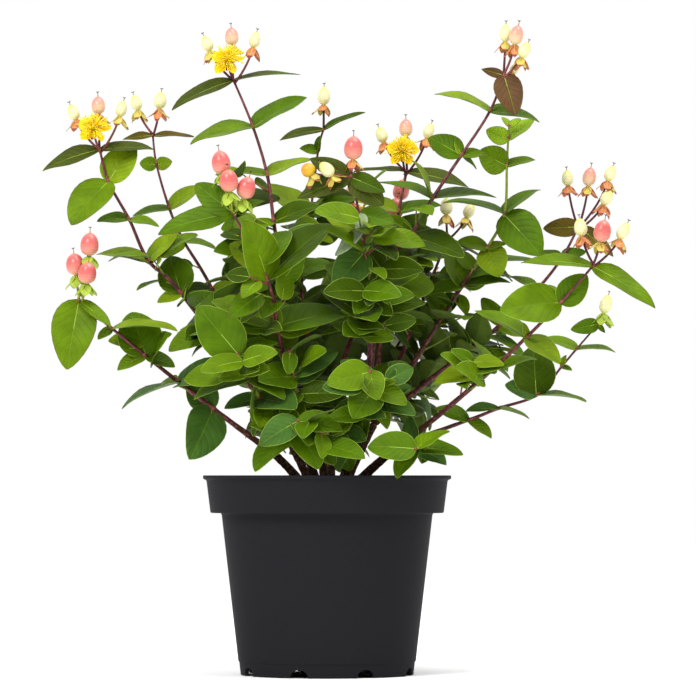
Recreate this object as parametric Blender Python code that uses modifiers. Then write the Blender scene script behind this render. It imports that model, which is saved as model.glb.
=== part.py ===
"""A potted hypericum shrub in flower and berry.

A black nursery pot holds compost, and a woody stool stands on it. The stool forks into boughs, and each
bough carries one mass of foliage: a leafy cane with its leaves, berries and flower.

X runs to the right, Y away from the viewer, Z up. The origin is the middle of the pot's underside.
Sizes are in millimetres, and MM turns them into Blender's metres.
"""

import math
import random
from collections import namedtuple

import bmesh
import bpy
from mathutils import Matrix, Vector
from mathutils.bvhtree import BVHTree

MM = 0.001
CLEAR = 0.3  # the gap between pieces that touch

# The pot
POT_HEIGHT = 152.4
LIP_RADIUS = 95.0
LIP_DEPTH = 2.6
COLLAR_TOP_RADIUS = 92.4
COLLAR_FOOT_RADIUS = 89.3
COLLAR_DEPTH = 28.7
LIP_UNDERCUT = 1.2
LEDGE_ROUND = 0.8  # how far the body stands out under the collar's ledge, and how far down it does so
LEDGE_FALL = 1.5
BODY_TOP_RADIUS = 80.7
BODY_FOOT_RADIUS = 66.7
WALL = 1.4
FLOOR_UNDERSIDE = 8.6
FLOOR_THICKNESS = 2.0
FOOT_BAND = 10.7
FOOT_RECESS = 0.7
FOOT_STEP = 0.6
PAD_RADIUS = 20.0
PAD_FLARE = 1.5
NOTCHES = 8
NOTCH_WIDTH = 14.0
NOTCH_HEIGHT = 6.5
NOTCH_SHOULDER = 1.5  # the height at which a notch's sides turn into its arch
NOTCH_LOW = -3.0  # how far below the ground a cutter reaches
NOTCH_REACH = 7.0  # how far a cutter reaches in and out from the wall
NOTCH_SIDES = 12
NOTCH_PHASE = -18.5
POT_STEPS = 32

# The compost
COMPOST_TOP = 130.0
COMPOST_CROWN = 2.5
COMPOST_SHOULDER = 1.2  # how far it still stands above its edge at six tenths of the way out
COMPOST_SHOULDER_AT = 0.6
COMPOST_LEVEL = 4.0  # how far round the stool's foot the compost is level
COMPOST_MARGIN = 0.25  # more than CLEAR, because the pot's wall leans

# The stool
STOOL_FOOT_RADIUS = 18.0
STOOL_FOOT_HEIGHT = 8.0
STOOL_FOOT_TAPER = 0.6
STOOL_FOOT_SIDES = 16
STEM_ROOT = 3.5  # how far up in the stool's foot its stems begin
STOOL_KEPT = 0.7  # the share of its triangles left once the slivers at its forks are merged
STUB = 17.0  # how far the stool follows each cane past the fork
STEM_RISE = 5.0  # how far the middle of a stem bows up
STEM_RUNS = 3
FORK_GIRTH = 2.8  # the radius of every stem at its fork

# Wood
BOUGH_RADIUS = 2.5
TIP_RADIUS = 0.9
TAPER_POWER = 0.8
SLIM = {"right_low": 0.72, "young_shoot": 0.85, "left_back": 0.85, "middle_back": 0.85}
TWIG_RADIUS = 0.75
ROUTE_STEP = 28.0
BOUGH_STEP = 24.0
BOW_POINTS = 60
KNOT_POINTS = 12
STALK_SPACING = 1.8
STALK_TOP = 0.6  # how far below a cane's tip its first stalk leaves it
STALK_FLARE = 1.35
STALK_SUNK = 0.2  # how far into a berry its stalk reaches, as a share of its length
FRUIT_RISE = 0.6  # how much a berry turns up from its stalk's direction, and along the cane
FRUIT_AHEAD = 0.2
FLOWER_TO_VIEWER = 0.85
FLOWER_UP = 0.5

# Leaves
LEAF_ARCH = 0.17
ARCH_ANGLE = math.atan(LEAF_ARCH)
LEAF_FOLD = 0.22
LEAF_THICKNESS = 1.3
LEAF_CORNER = 1.12  # how much further out the corners of a plain leaf stand than its true edge
LEAF_HEART = 0.40  # where on the midrib the point above it and the one below it stand
TWIG_CORNER = 1.2
LEAF_STATIONS = (0.12, 0.3, 0.55, 0.8, 1.0)
ROOT_DEPTH = 0.5
NARROW = 0.36  # the width of the leaves under a head, as a share of their length
BROAD = 0.66  # and of all others
SEEN_LEAN = 0.4  # how far a seen leaf that stands upright leans away from the eye, as a share of its length
NEAR_LEAN = -0.5  # and one that stands before its cane
LEAN_SPREAD = 0.2
FLAT_ENOUGH = 0.3  # a leaf that hangs more steeply may be rolled either way
PAIR_STAGGER = 0.35
PAIR_TURN = 0.3  # how far a ruled pair may turn from its place round the cane
PAIR_AHEAD = 0.38  # how much of the cane's heading a ruled leaf keeps, against its spread and its sag
PAIR_SPREAD = 0.92
PAIR_SAG = (-0.34, 0.02)
PAIR_LENGTH = (0.85, 1.08)
FACE_UP = 0.75  # how much its face turns up, away from the stool, along the cane and to the viewer
FACE_OUT = 0.5
FACE_AHEAD = 0.3
FACE_VIEWER = 0.45
FIRST_PAIR = 1.5  # how far below a cane's tip its first pair stands
LAST_PAIR = 3.0  # and how far above its foot the last
QUARTER = 84  # each pair stands this many degrees round the cane from the last, a little under a true quarter
CROSS_DROP = 3.0  # how far below a pair its crosswise leaf stands
CROSS_SHARE = 0.8  # the length of a crosswise leaf, as a share of the others'
OWN_CLEAR_FROM = 0.38  # a leaf may touch its own mass up to this share of its length
SIX_SIDED_FROM = 41.0  # a longer leaf has six corners, a shorter one four
LEAF_REACH = 72.0  # how far a leaf may stand from its own cane
RIM_GUARD = 3.0
TEST_MARGIN = 0.45
OWN_MARGIN = 0.1
TURNS = 7  # how often a leaf is turned before it is skipped
TURN_SWING = 0.13  # how far each further turn may swing, lean and roll it, and how much it shrinks
TURN_LEAN = 0.16
TURN_ROLL = 0.22
TURN_SHRINK = 0.03

# For which leaves a placed one stands in the way
OWN = "own"
OTHERS = "others"

# The picture: where its eye stands, how its pixels lie on the plane of the pot's axis, and the gaps between
# the leaves in which it shows the background, as (left, top, right, bottom)
EYE_ACROSS = 16.0
EYE_AWAY = 3200.0
EYE_HEIGHT = 150.0
PIXEL = 0.766
PICTURE_AXIS = 327.0
PICTURE_GROUND = 675.0
GAPS = ((190, 232, 215, 250), (200, 283, 230, 291), (262, 205, 285, 225), (320, 250, 345, 265),
        (305, 275, 320, 290), (405, 280, 420, 290), (420, 337, 447, 352), (364, 254, 382, 266),
        (200, 388, 247, 430), (270, 455, 300, 475), (370, 420, 400, 440), (355, 460, 372, 476),
        (150, 175, 215, 232), (60, 300, 150, 330), (150, 395, 190, 475), (440, 395, 520, 475),
        (376, 180, 412, 220), (434, 198, 482, 232), (92, 358, 130, 394), (130, 374, 152, 392),
        (112, 240, 140, 249), (122, 264, 150, 278), (149, 285, 172, 309), (166, 308, 190, 325),
        (162, 352, 187, 375), (193, 252, 223, 277), (273, 162, 300, 184), (304, 250, 320, 272),
        (458, 292, 500, 312), (468, 320, 492, 336), (413, 229, 441, 238), (413, 188, 430, 204),
        (492, 251, 511, 262), (504, 286, 522, 295), (245, 440, 258, 456), (488, 374, 502, 394))
GAP_POINTS = 8  # how many points of a leaf's outline are looked at

Stem = namedtuple("Stem", "foot fork girth")
Cane = namedtuple("Cane", "stem tip bow leafy step leaf head front ways", defaults=((),))

# The woody stems of the stool: foot on the compost, fork above it, radius at the foot
STEMS = {
    "left_front": Stem((-10, -6), (-42, -16, 170), 3.6),
    "left_back": Stem((-8, 6), (-34, 16, 188), 3.3),
    "middle_front": Stem((-2, -9), (-22, -26, 180), 3.1),
    "middle_back": Stem((-1, 4), (-6, 14, 196), 3.2),
    "right_middle": Stem((6, -7), (28, -22, 186), 3.5),
    "right_front": Stem((11, -3), (58, -24, 177), 3.8),
    "right_back": Stem((9, 6), (36, 20, 192), 3.6),
    "rear": Stem((2, 11), (4, 46, 182), 3.2),
}

# Each cane: its stem, its tip, how far its middle bows sideways (x, y), its leafy length, the spacing of
# its leaf pairs, the length of its leaves, what it bears, whether its leaves face the viewer, and the nodes
# that it passes below its tip, as (across, up, away), the first two where the eye sees them on the plane of
# the pot's axis
CANES = {
    "left_low": Cane("left_front", (-188, -56, 285), (-3, 0), 142, 33, 46, "ripe_low", True),
    "left_outer": Cane("left_back", (-175, 0, 404), (0, 0), 178, 33, 46, "star", True,
                       ((-168, 378, 0), (-152, 349, 2), (-137, 317, 4), (-112, 292, 6))),
    "left_back": Cane("left_back", (-137, 62, 420), (0, 0), 160, 29, 40, "pale_pair", True,
                      ((-131, 391, 58), (-121, 357, 52), (-110, 332, 47), (-88, 295, 38))),
    "left_tall": Cane("middle_front", (-73, 18, 459), (0, 0), 200, 37, 50, "star", True,
                      ((-57, 420, 12), (-46, 383, 6), (-41, 347, 0), (-35, 305, -8))),
    "front_left": Cane("middle_front", (-70, -118, 348), (0, 0), 128, 29, 52, "ripe_three", True,
                       ((-46, 303, -100), (-38, 267, -80))),
    "middle_back": Cane("middle_back", (-3, 80, 426), (0, 0), 170, 33, 46, "pale_one", True,
                        ((-7, 401, 77), (-13, 352, 66), (-20, 306, 54))),
    "front_middle": Cane("right_middle", (18, -90, 377), (9, -10), 132, 29, 46, "ripe_one", True),
    "right_inner": Cane("right_back", (62, 40, 390), (-4, 0), 140, 32, 48, "star", True),
    "right_deep": Cane("middle_back", (46, 74, 341), (2, 6), 90, 30, 46, "ripe_right", True),
    "right_back": Cane("right_back", (94, 66, 338), (0, 6), 90, 29, 46, "pale_right", True),
    "right_tall": Cane("right_middle", (135, -34, 458), (0, 0), 205, 37, 48, "pale_close", True,
                       ((125, 432, -34), (103, 398, -33), (81, 365, -32), (64, 336, -30), (43, 303, -27))),
    "young_shoot": Cane("right_back", (140, 2, 422), (0, 0), 165, 27, 38, "shoot", True,
                        ((139, 410, 2), (138, 390, 2), (136, 353, 4), (123, 327, 6), (104, 298, 9))),
    "young_side": Cane("right_back", (113, 36, 317), (2, 4), 80, 26, 42, "shoot", True),
    "right_outer": Cane("right_back", (196, 44, 347), (0, 0), 150, 35, 44, "pale_group", True,
                        ((180, 319, 40), (161, 295, 36), (132, 267, 31), (106, 247, 27))),
    "right_front": Cane("right_front", (200, -82, 310), (8, -6), 148, 37, 46, "mixed_three", True),
    "right_low": Cane("right_front", (208, -14, 269), (0, 0), 138, 31, 42, "pale_low", True,
                      ((191, 249, -15), (180, 236, -16), (161, 214, -17), (132, 204, -19), (109, 195, -21))),
    "inner_left": Cane("left_front", (-66, -98, 243), (5, -10), 92, 22, 44, "shoot", True),
    "inner_front": Cane("middle_front", (-28, -84, 246), (2, -10), 68, 19, 38, "shoot", True),
    "inner_right": Cane("right_middle", (32, -104, 230), (4, -8), 76, 19, 34, "shoot", True),
    "rosette_left": Cane("middle_front", (-21, -104, 193), (-2, 0), 54, 21, 34, "shoot", True),
    "rosette_middle": Cane("right_middle", (-4, -104, 183), (-2, 0), 48, 19, 32, "shoot", True),
    "rosette_right": Cane("right_front", (66, -104, 172), (4, 0), 56, 20, 38, "shoot", True),
    "rear_left": Cane("left_back", (-68, 106, 312), (-4, 8), 120, 31, 46, "pale_pair", False),
    "rear_mid_left": Cane("rear", (-44, 138, 296), (-4, 10), 110, 30, 46, "ripe_three", False),
    "rear_middle": Cane("rear", (18, 148, 346), (4, 10), 140, 31, 46, "star", False),
    "rear_right": Cane("rear", (72, 130, 286), (4, 10), 112, 30, 46, "pale_pair", False),
    "rear_far_right": Cane("right_back", (126, 108, 276), (4, 8), 120, 31, 46, "shoot", False),
    "rear_low_left": Cane("rear", (-74, 112, 214), (-4, 4), 70, 20, 42, "shoot", False),
    "rear_low_middle": Cane("rear", (0, 126, 206), (0, 6), 66, 19, 42, "shoot", False),
    "rear_low_right": Cane("rear", (74, 116, 222), (6, 4), 74, 20, 42, "shoot", False),
}

# The pairs that show most, from the tip down: of each leaf its bearing, counted from the right, and the
# length and the width that the eye sees. Some nodes have a third or a fourth leaf, of a side shoot. The
# pairs below them follow the rule.
SEEN_PAIRS = {
    "left_low": ((261, 52, 31, 320, 33, 9), (358, 50, 7, 215, 14, 7), (205, 24, 10, 340, 24, 10, 112, 38, 32),
                 (203, 47, 6, 22, 50, 12), (256, 42, 28, 130, 30, 22)),
    "left_outer": ((198, 47, 12, 3, 42, 8), (231, 44, 25, 58, 36, 23), (183, 25, 8, 347, 24, 7),
                   (171, 41, 10, 31, 43, 12), (108, 32, 26, 200, 20, 9)),
    "left_back": ((190, 24, 6, 357, 33, 5), (175, 14, 11, 12, 13, 10), (192, 30, 7, 36, 32, 11),
                  (215, 22, 12, 348, 26, 5), (188, 30, 10, 354, 28, 12)),
    "left_tall": ((206, 53, 11, 7, 52, 5), (194, 50, 13, 30, 48, 13), (178, 32, 7, 21, 36, 9),
                  (200, 28, 9, 20, 38, 13), (187, 60, 6, 15, 40, 16)),
    "front_left": ((142, 36, 19, 24, 26, 8, 194, 58, 17), (111, -45, 27, 40, 66, 22),
                   (160, 54, 21, 12, 52, 21)),
    "middle_back": ((195, 36, 7, 25, 36, 5), (170, 15, 8, 62, 16, 9), (150, 46, 16, 20, 38, 14),
                    (200, 38, 14, 10, 40, 16)),
    "front_middle": ((203, 44, 15, 318, 33, 19, 155, 35, 14, 342, 30, 14), (243, 37, -11, 345, 28, 14),
                     (215, 38, 26, 60, 30, 12), (150, 38, 18, 20, 40, 18)),
    "right_inner": ((181, 42, 4, 345, 50, 11), (165, 34, 10, 10, 34, 10)),
    "right_tall": ((285, 33, 20, 164, 18, 7), (159, 44, 7, 350, 41, 7), (150, 29, 18, 5, 21, 8),
                   (161, 43, 8, 4, 49, 9), (150, 30, 14, 338, 44, 17), (190, 30, 14, 20, 35, 18)),
    "young_shoot": ((125, 10, 5, 48, 12, 6), (155, 19, 13, 39, 27, 9), (141, 27, 22, 17, 23, 7),
                    (166, 48, 6, 39, 35, 8, 311, 43, 29), (292, 25, 22, 168, 24, 10, 345, 17, 8),
                    (3, 37, 8, 190, 28, 10)),
    "young_side": ((2, 50, 8, 190, 26, 9), (235, 30, 14, 300, 18, 9)),
    "right_deep": ((28, 40, 14, 200, 30, 12),),
    "right_outer": ((183, 28, 14, 317, 36, 12), (17, 20, 9, 165, 20, 8), (151, 24, 7, 335, 26, 12),
                    (120, 26, 14, 345, 26, 12)),
    "right_front": ((176, 54, 9, 327, 56, 15), (187, 46, 28, 46, 30, 20), (151, 44, 11, 323, 32, 15),
                    (192, 45, 15, 15, 36, 8), (318, 30, 19, 170, 28, 12)),
    "right_low": ((192, 22, 11, 310, 9, 4), (160, 28, 8, 0, 30, 4), (70, 10, 5, 350, 9, 4),
                  (160, 26, 14, 353, 38, 4, 90, 39, 31), (20, 28, 8, 185, 26, 6), (322, 22, 9, 163, 28, 10)),
    "inner_left": ((125, 48, 32, 19, 31, 10), (200, 46, 12, 330, 30, 12), (197, 28, 11, 20, 24, 10)),
    "inner_front": ((64, 32, 14, 268, 17, 11), (28, 38, 18, 200, 24, 12), (345, 30, 12, 170, 24, 12)),
    "inner_right": ((195, 33, 21, 285, 22, 17), (335, 29, 14, 140, 32, 16), (300, 24, 12, 70, 32, 16)),
    "rosette_left": ((212, 34, 20, 350, 34, 14), (125, 18, 12, 75, 18, 11), (222, 42, 18, 330, 24, 12)),
    "rosette_middle": ((272, 18, 11, 130, 14, 8), (245, 23, 11, 30, 20, 12)),
    "rosette_right": ((178, 36, 20, 29, 29, 9), (238, 28, 12, 350, 36, 12), (330, 28, 14, 100, 24, 12)),
}

# Each kind of head: its fruits as (across, up, away, diameter, length, colour), and where its flower sits
Head = namedtuple("Head", "fruits flower")
HEADS = {
    "ripe_three": Head(((-8, 36, 0, 14, 19, "ripe"), (-2, 22, -7, 14, 18, "ripe"),
                        (11, 17, -2, 14, 18, "ripe")), None),
    "ripe_low": Head(((9, 42, 3, 14, 19, "ripe"), (-2, 27, 4, 14, 18, "ripe"),
                      (8, 20, -7, 14, 18, "ripe")), None),
    "ripe_right": Head(((12, 36, 1, 13, 18, "ripe"), (7, 21, -7, 14, 18, "ripe"),
                        (-6, 19, 4, 12, 17, "ripe")), None),
    "star": Head(((-1, 33, 3, 10.5, 15, "peach"), (-20, 27, 0, 9, 13, "pale"),
                  (17, 30, 1, 8.5, 13, "pale")),
                 (-4, 13, -9)),
    "pale_pair": Head(((-13, 24, 0, 9, 13, "pale"), (6, 26, 2, 10, 14, "pale")), None),
    "pale_right": Head(((-1, 25, 0, 10, 14, "pale"), (17, 22, 2, 9, 13, "pale")), None),
    "pale_one": Head(((0, 25, 0, 10, 15, "pale"),), None),
    "pale_low": Head(((5, 14, 0, 9.5, 15, "pale"),), None),
    "ripe_one": Head(((2, 20, 0, 14, 19, "ripe"), (-18, 3, -8, 10, 14, "pale"),
                      (-32, 3, -6, 11, 11, "bud")), None),
    "pale_group": Head(((8, 38, 2, 10.5, 16, "peach"), (-9, 37, 5, 9, 13, "pale"),
                        (24, 40, -2, 9, 13, "pale"), (21, 21, -7, 9.5, 13, "pale")), None),
    "pale_close": Head(((9, 29, -3, 10.5, 16, "peach"), (1, 31, 5, 9, 14, "pale"),
                        (15, 17, -5, 9.5, 13, "pale"), (8, 4, 7, 7, 10, "pale")), None),
    "mixed_three": Head(((-10, 28, 3, 10, 14, "pale"), (6, 25, -6, 13, 18, "ripe"),
                         (22, 25, 2, 9, 14, "pale")), None),
    "shoot": Head((), None),
}
# A berry from its foot to its style: the radius as a share of its width, the height as a share of its length
FRUIT_PROFILE = ((0, 0.10), (0.66, -0.08), (0.42, 0.12), (0.56, 0.48), (0.38, 0.86), (0, 1.2))
PETAL_RADIUS = 13.5
PETAL_NOTCH = 6.5  # the radius between two petals
PETAL_DROP = 0.5
PETAL_THICKNESS = 1.6
STAMEN_RADIUS = 9.5
STAMEN_WAIST = 0.45
STAMEN_HEIGHT = 8.0
PETAL_SIDES = 10
STAMEN_SIDES = 8
FRUIT_AROUND = 5
BALL_CLEAR = 0.62  # how much room a berry needs, as a share of its width

COLOURS = {
    "plastic": ((0.030, 0.030, 0.033), 0.45),
    "compost": ((0.045, 0.028, 0.018), 0.95),
    "bark": ((0.085, 0.045, 0.030), 0.80),
    "young_bark": ((0.160, 0.040, 0.060), 0.60),
    "foliage": ((0.110, 0.230, 0.030), 0.45),
}

# What the growth rule makes
Twig = namedtuple("Twig", "points radii")
Leaf = namedtuple("Leaf", "base along face length width")
Fruit = namedtuple("Fruit", "base axis width length colour")
Flower = namedtuple("Flower", "centre axis")
Mass = namedtuple("Mass", "name stem twigs leaves fruits flowers")


def clean_scene():
    for obj in list(bpy.data.objects):
        bpy.data.objects.remove(obj)


def behind(across, up, away):
    """The point at a depth that the eye sees at a place on the plane of the pot's axis."""
    scale = (EYE_AWAY + away) / EYE_AWAY
    return Vector((EYE_ACROSS + (across - EYE_ACROSS) * scale, away, EYE_HEIGHT + (up - EYE_HEIGHT) * scale))


def cane_route(cane):
    """Points closely along a cane, from its fork to its tip, with the distance of each from the fork."""
    start = Vector(STEMS[cane.stem].fork)
    end = Vector(cane.tip)
    points = []
    if cane.ways:
        knots = [start] + [behind(*way) for way in reversed(cane.ways)] + [end]
        knots = [2 * knots[0] - knots[1]] + knots + [2 * knots[-1] - knots[-2]]
        for a, b, c, d in zip(knots, knots[1:], knots[2:], knots[3:]):
            for i in range(KNOT_POINTS):
                t = i / KNOT_POINTS
                bend = 2 * a - 5 * b + 4 * c - d + t * (3 * b - a - 3 * c + d)
                points.append(b + 0.5 * t * (c - a + t * bend))
        points.append(end)
    else:
        middle = (start + end) / 2 + 2 * Vector((cane.bow[0], cane.bow[1], 0))
        for i in range(BOW_POINTS + 1):
            t = i / BOW_POINTS
            points.append((1 - t) ** 2 * start + 2 * t * (1 - t) * middle + t * t * end)
    lengths = [0.0]
    for a, b in zip(points, points[1:]):
        lengths.append(lengths[-1] + (b - a).length)
    return points, lengths


def place_on(route, distance):
    """The point and the direction at a distance from the start of a route."""
    points, lengths = route
    distance = min(max(distance, 0.0), lengths[-1])
    for i in range(1, len(points)):
        if distance <= lengths[i]:
            break
    share = (distance - lengths[i - 1]) / (lengths[i] - lengths[i - 1])
    step = points[i] - points[i - 1]
    return points[i - 1] + share * step, step.normalized()


def stretch(route, start, end, radius_at, step):
    """A twig that follows a route from one distance to another."""
    count = max(1, round((end - start) / step))
    distances = [start + (end - start) * i / count for i in range(count + 1)]
    points = [place_on(route, d)[0] for d in distances]
    return Twig(points, [radius_at(d) for d in distances])


def cane_radius(name, total):
    """The radius of a cane at each distance from its fork: stout at the fork, slim at the tip."""
    def at(distance):
        share = distance / total
        return SLIM.get(name, 1.0) * (BOUGH_RADIUS + (TIP_RADIUS - BOUGH_RADIUS) * share ** TAPER_POWER)
    return at


def leaf_half_width(u):
    """Half the width of a leaf at a share u of its length, as a share of its width."""
    return 0.5 * math.sin(math.pi * u ** 0.8) ** 0.85


def leaf_frame(leaf):
    along = leaf.along.normalized()
    face = (leaf.face - leaf.face.dot(along) * along).normalized()
    return along, face.cross(along), face


def leaf_place(leaf, u, across, lift=0.0):
    """A point of the leaf: u along the midrib, across from it and lifted from its face, in millimetres."""
    along, side, face = leaf_frame(leaf)
    drop = LEAF_ARCH * leaf.length * u * u
    rise = LEAF_FOLD * abs(across)
    return leaf.base + along * (leaf.length * u) + side * across + face * (rise - drop + lift)


def leaf_ring(leaf, count):
    """The outline of the plain solid leaf, as an even ring from its root round by its tip."""
    ring = []
    for i in range(count):
        angle = 2 * math.pi * i / count
        u = (1 - math.cos(angle)) / 2
        half = LEAF_CORNER * leaf.width * leaf_half_width(min(max(u, 0.0), 1.0))
        ring.append(leaf_place(leaf, u, math.copysign(half, math.sin(angle)) if 0 < u < 1 else 0.0))
    return ring


class Ground:
    """What has been placed so far, so that nothing new touches it.

    A leaf is there twice: whole for the leaves of other masses, and without its root for those of its own.
    """

    def __init__(self):
        self.pieces = []

    def add(self, owner, points, faces, side=None):
        self.pieces.append((owner, side, bounds_of(points), BVHTree.FromPolygons(points, faces)))

    def touches(self, points, faces, skip=None, only=None):
        low, high = bounds_of(points)
        tree = BVHTree.FromPolygons(points, faces)
        for owner, side, (other_low, other_high), other in self.pieces:
            if side == OTHERS if only else (side == OWN or owner == skip):
                continue
            if only and owner != only:
                continue
            if any(low[i] > other_high[i] or high[i] < other_low[i] for i in range(3)):
                continue
            if tree.overlap(other):
                return True
        return False


def bounds_of(points):
    low = [min(p[i] for p in points) for i in range(3)]
    high = [max(p[i] for p in points) for i in range(3)]
    return low, high


def leaf_skin(leaf, margin, start=0.0):
    """Triangles a little proud of a leaf, from a share of its length on, for the test of what it touches."""
    points = []
    faces = []
    stations = [start] + [u for u in LEAF_STATIONS if u > start + 0.02]
    for u in stations:
        half = LEAF_CORNER * leaf.width * leaf_half_width(min(max(u, 0.03), 0.97)) + margin
        for across in (-half, 0.0, half):
            for lift in (-margin - LEAF_THICKNESS / 2, margin + LEAF_THICKNESS / 2):
                points.append(leaf_place(leaf, u, across, lift if across == 0.0 else 0.5 * lift))
    for i in range(len(stations) - 1):
        for column in range(2):
            for layer in range(2):
                a = 6 * i + 2 * column + layer
                faces.append((a, a + 2, a + 8))
                faces.append((a, a + 8, a + 6))
    return points, faces


def twig_skin(twig, margin):
    """A prism a little proud of a twig."""
    points = []
    faces = []
    for i, (point, radius) in enumerate(zip(twig.points, twig.radii)):
        ahead = twig.points[min(i + 1, len(twig.points) - 1)] - twig.points[max(i - 1, 0)]
        side = ahead.orthogonal().normalized()
        other = ahead.cross(side).normalized()
        for k in range(4):
            angle = math.pi * k / 2
            out = math.cos(angle) * side + math.sin(angle) * other
            points.append(point + (radius + margin) * TWIG_CORNER * out)
        if i:
            for k in range(4):
                a = 4 * (i - 1) + k
                b = 4 * (i - 1) + (k + 1) % 4
                faces.append((a, b, b + 4))
                faces.append((a, b + 4, a + 4))
    return points, faces


def ball_skin(centre, radius):
    points = [centre + Vector(d) * radius for d in
              ((1, 0, 0), (-1, 0, 0), (0, 1, 0), (0, -1, 0), (0, 0, 1), (0, 0, -1))]
    faces = [(a, b, c) for a in (0, 1) for b in (2, 3) for c in (4, 5)]
    return points, faces


def in_pot(point):
    """Whether a point is in the pot, or too near its rim."""
    radius = math.hypot(point.x, point.y)
    return point.z < POT_HEIGHT + RIM_GUARD and radius < LIP_RADIUS + RIM_GUARD


def near_route(route, point):
    return min((p - point).length for p in route[0][::4])


def before_gap(points):
    """Whether one of the points lies in a gap in which the picture shows the background."""
    for point in points:
        scale = EYE_AWAY / (EYE_AWAY + point.y)
        across = PICTURE_AXIS + (EYE_ACROSS + (point.x - EYE_ACROSS) * scale) / PIXEL
        down = PICTURE_GROUND - (EYE_HEIGHT + (point.z - EYE_HEIGHT) * scale) / PIXEL
        if any(left < across < right and top < down < bottom for left, top, right, bottom in GAPS):
            return True
    return False


def try_leaf(ground, owner, route, leaf, rng, free=False):
    """The leaf, turned until it is clear of everything else, or None. A free one keeps out of the gaps."""
    along0 = leaf.along.normalized()
    for turn in range(TURNS):
        swing = TURN_SWING * turn * rng.uniform(-1, 1)
        lean = TURN_LEAN * turn * rng.uniform(-1, 1)
        roll = TURN_ROLL * turn * rng.uniform(-1, 1)
        shrink = 1.0 - TURN_SHRINK * turn
        side = along0.cross(leaf.face).normalized()
        along = (along0 + swing * side + lean * leaf.face.normalized()).normalized()
        face = Matrix.Rotation(roll, 3, along) @ leaf.face
        trial = Leaf(leaf.base, along, face, leaf.length * shrink, leaf.width * shrink)
        tip = leaf_place(trial, 1.0, 0.0)
        if in_pot(tip) or in_pot(leaf_place(trial, 0.6, 0.0)) or near_route(route, tip) > LEAF_REACH:
            continue
        if free and before_gap(leaf_ring(trial, GAP_POINTS)):
            continue
        whole = leaf_skin(trial, TEST_MARGIN)
        if ground.touches(*whole, skip=owner):
            continue
        outer = leaf_skin(trial, OWN_MARGIN, start=OWN_CLEAR_FROM)
        if ground.touches(*outer, only=owner):
            continue
        ground.add(owner, *outer, OWN)
        ground.add(owner, *leaf_skin(trial, OWN_MARGIN), OTHERS)
        return trial
    return None


def grow_head(ground, mass, cane, route):
    """The berries and the flower at the tip of a cane, each on its stalk."""
    tip, heading = place_on(route, route[1][-1])
    head = HEADS[cane.head]
    turn = 1.0 if cane.front else -1.0
    for place, (across, up, away, width, length, colour) in enumerate(head.fruits):
        centre = tip + Vector((turn * across, turn * away, up))
        axis = ((centre - tip).normalized() + Vector((0, 0, FRUIT_RISE)) + FRUIT_AHEAD * heading).normalized()
        base = centre - axis * (length / 2)
        if ground.touches(*ball_skin(centre, width * BALL_CLEAR), skip=mass.name):
            continue
        ground.add(mass.name, *ball_skin(centre, width * 0.5))
        root = tip - heading * (STALK_TOP + STALK_SPACING * place)
        stalk = Twig([root, base + axis * STALK_SUNK * length], [TWIG_RADIUS * STALK_FLARE, TWIG_RADIUS])
        mass.twigs.append(stalk)
        mass.fruits.append(Fruit(base, axis, width, length, colour))
    if head.flower:
        across, up, away = head.flower
        centre = tip + Vector((turn * across, turn * away, up))
        axis = Vector((0, -FLOWER_TO_VIEWER * turn, FLOWER_UP)).normalized()
        mass.flowers.append(Flower(centre, axis))
        root = tip - heading * STALK_SPACING * len(head.fruits)
        mass.twigs.append(Twig([root, centre + axis * 0.3], [TWIG_RADIUS * STALK_FLARE] * 2))
        ground.add(mass.name, *ball_skin(centre, STAMEN_RADIUS))


def seen_leaf(bearing, length, width, narrow, rng):
    """The direction, face, length and width of a leaf, from what the eye sees of it.

    It leans so that its face turns up, and it is rolled until no more than the seen width shows. As its
    midrib arches, it starts a little above the straight line to its tip. A length below nought is that of a
    leaf before its cane, and a width below nought that of a leaf that shows its underside.
    """
    angle = math.radians(bearing)
    lean = SEEN_LEAN * math.sin(angle) + rng.uniform(-LEAN_SPREAD, LEAN_SPREAD)
    lean, length = (NEAR_LEAN, -length) if length < 0 else (lean, length)
    turned_over, width = width < 0, abs(width)
    true_length = length * math.sqrt(1 + lean * lean) * math.cos(ARCH_ANGLE)
    true_width = max(width, true_length * (NARROW if narrow else BROAD))
    to_tip = Vector((math.cos(angle), lean, math.sin(angle))).normalized()
    to_eye = (-Vector((0, 1, 0)) + to_tip.y * to_tip).normalized()
    upward = to_tip.cross(to_eye)
    if upward.z < 0 or (upward.z < FLAT_ENOUGH and rng.random() < 0.5):
        upward = -upward
    roll = math.acos(min(width / true_width, 1.0))
    face = math.cos(roll) * to_eye + math.sin(roll) * upward
    if turned_over:
        face = -face
    along = math.cos(ARCH_ANGLE) * to_tip + math.sin(ARCH_ANGLE) * face
    return along, face, true_length, true_width


def ruled_pair(cane, heading, quarter, share, narrow, rng):
    """The directions, faces, lengths and widths of two leaves a quarter turn or so round the cane."""
    up = Vector((0, 0, 1))
    outward = Vector((cane.tip[0], cane.tip[1], 0)).normalized()
    side = heading.cross(up if abs(heading.z) < 0.97 else Vector((1, 0, 0))).normalized()
    other = heading.cross(side).normalized()
    turn = math.radians(quarter) + rng.uniform(-PAIR_TURN, PAIR_TURN)
    spread = side * math.cos(turn) + other * math.sin(turn)
    found = []
    for sign in (1, -1):
        along = heading * PAIR_AHEAD + spread * sign * PAIR_SPREAD + up * rng.uniform(*PAIR_SAG)
        facing = up * FACE_UP + outward * FACE_OUT + heading * FACE_AHEAD
        if cane.front:
            facing += Vector((0, -FACE_VIEWER, 0))
        length = cane.leaf * share * rng.uniform(*PAIR_LENGTH)
        found.append((along.normalized(), facing, length, length * (NARROW if narrow else BROAD)))
    return found


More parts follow.
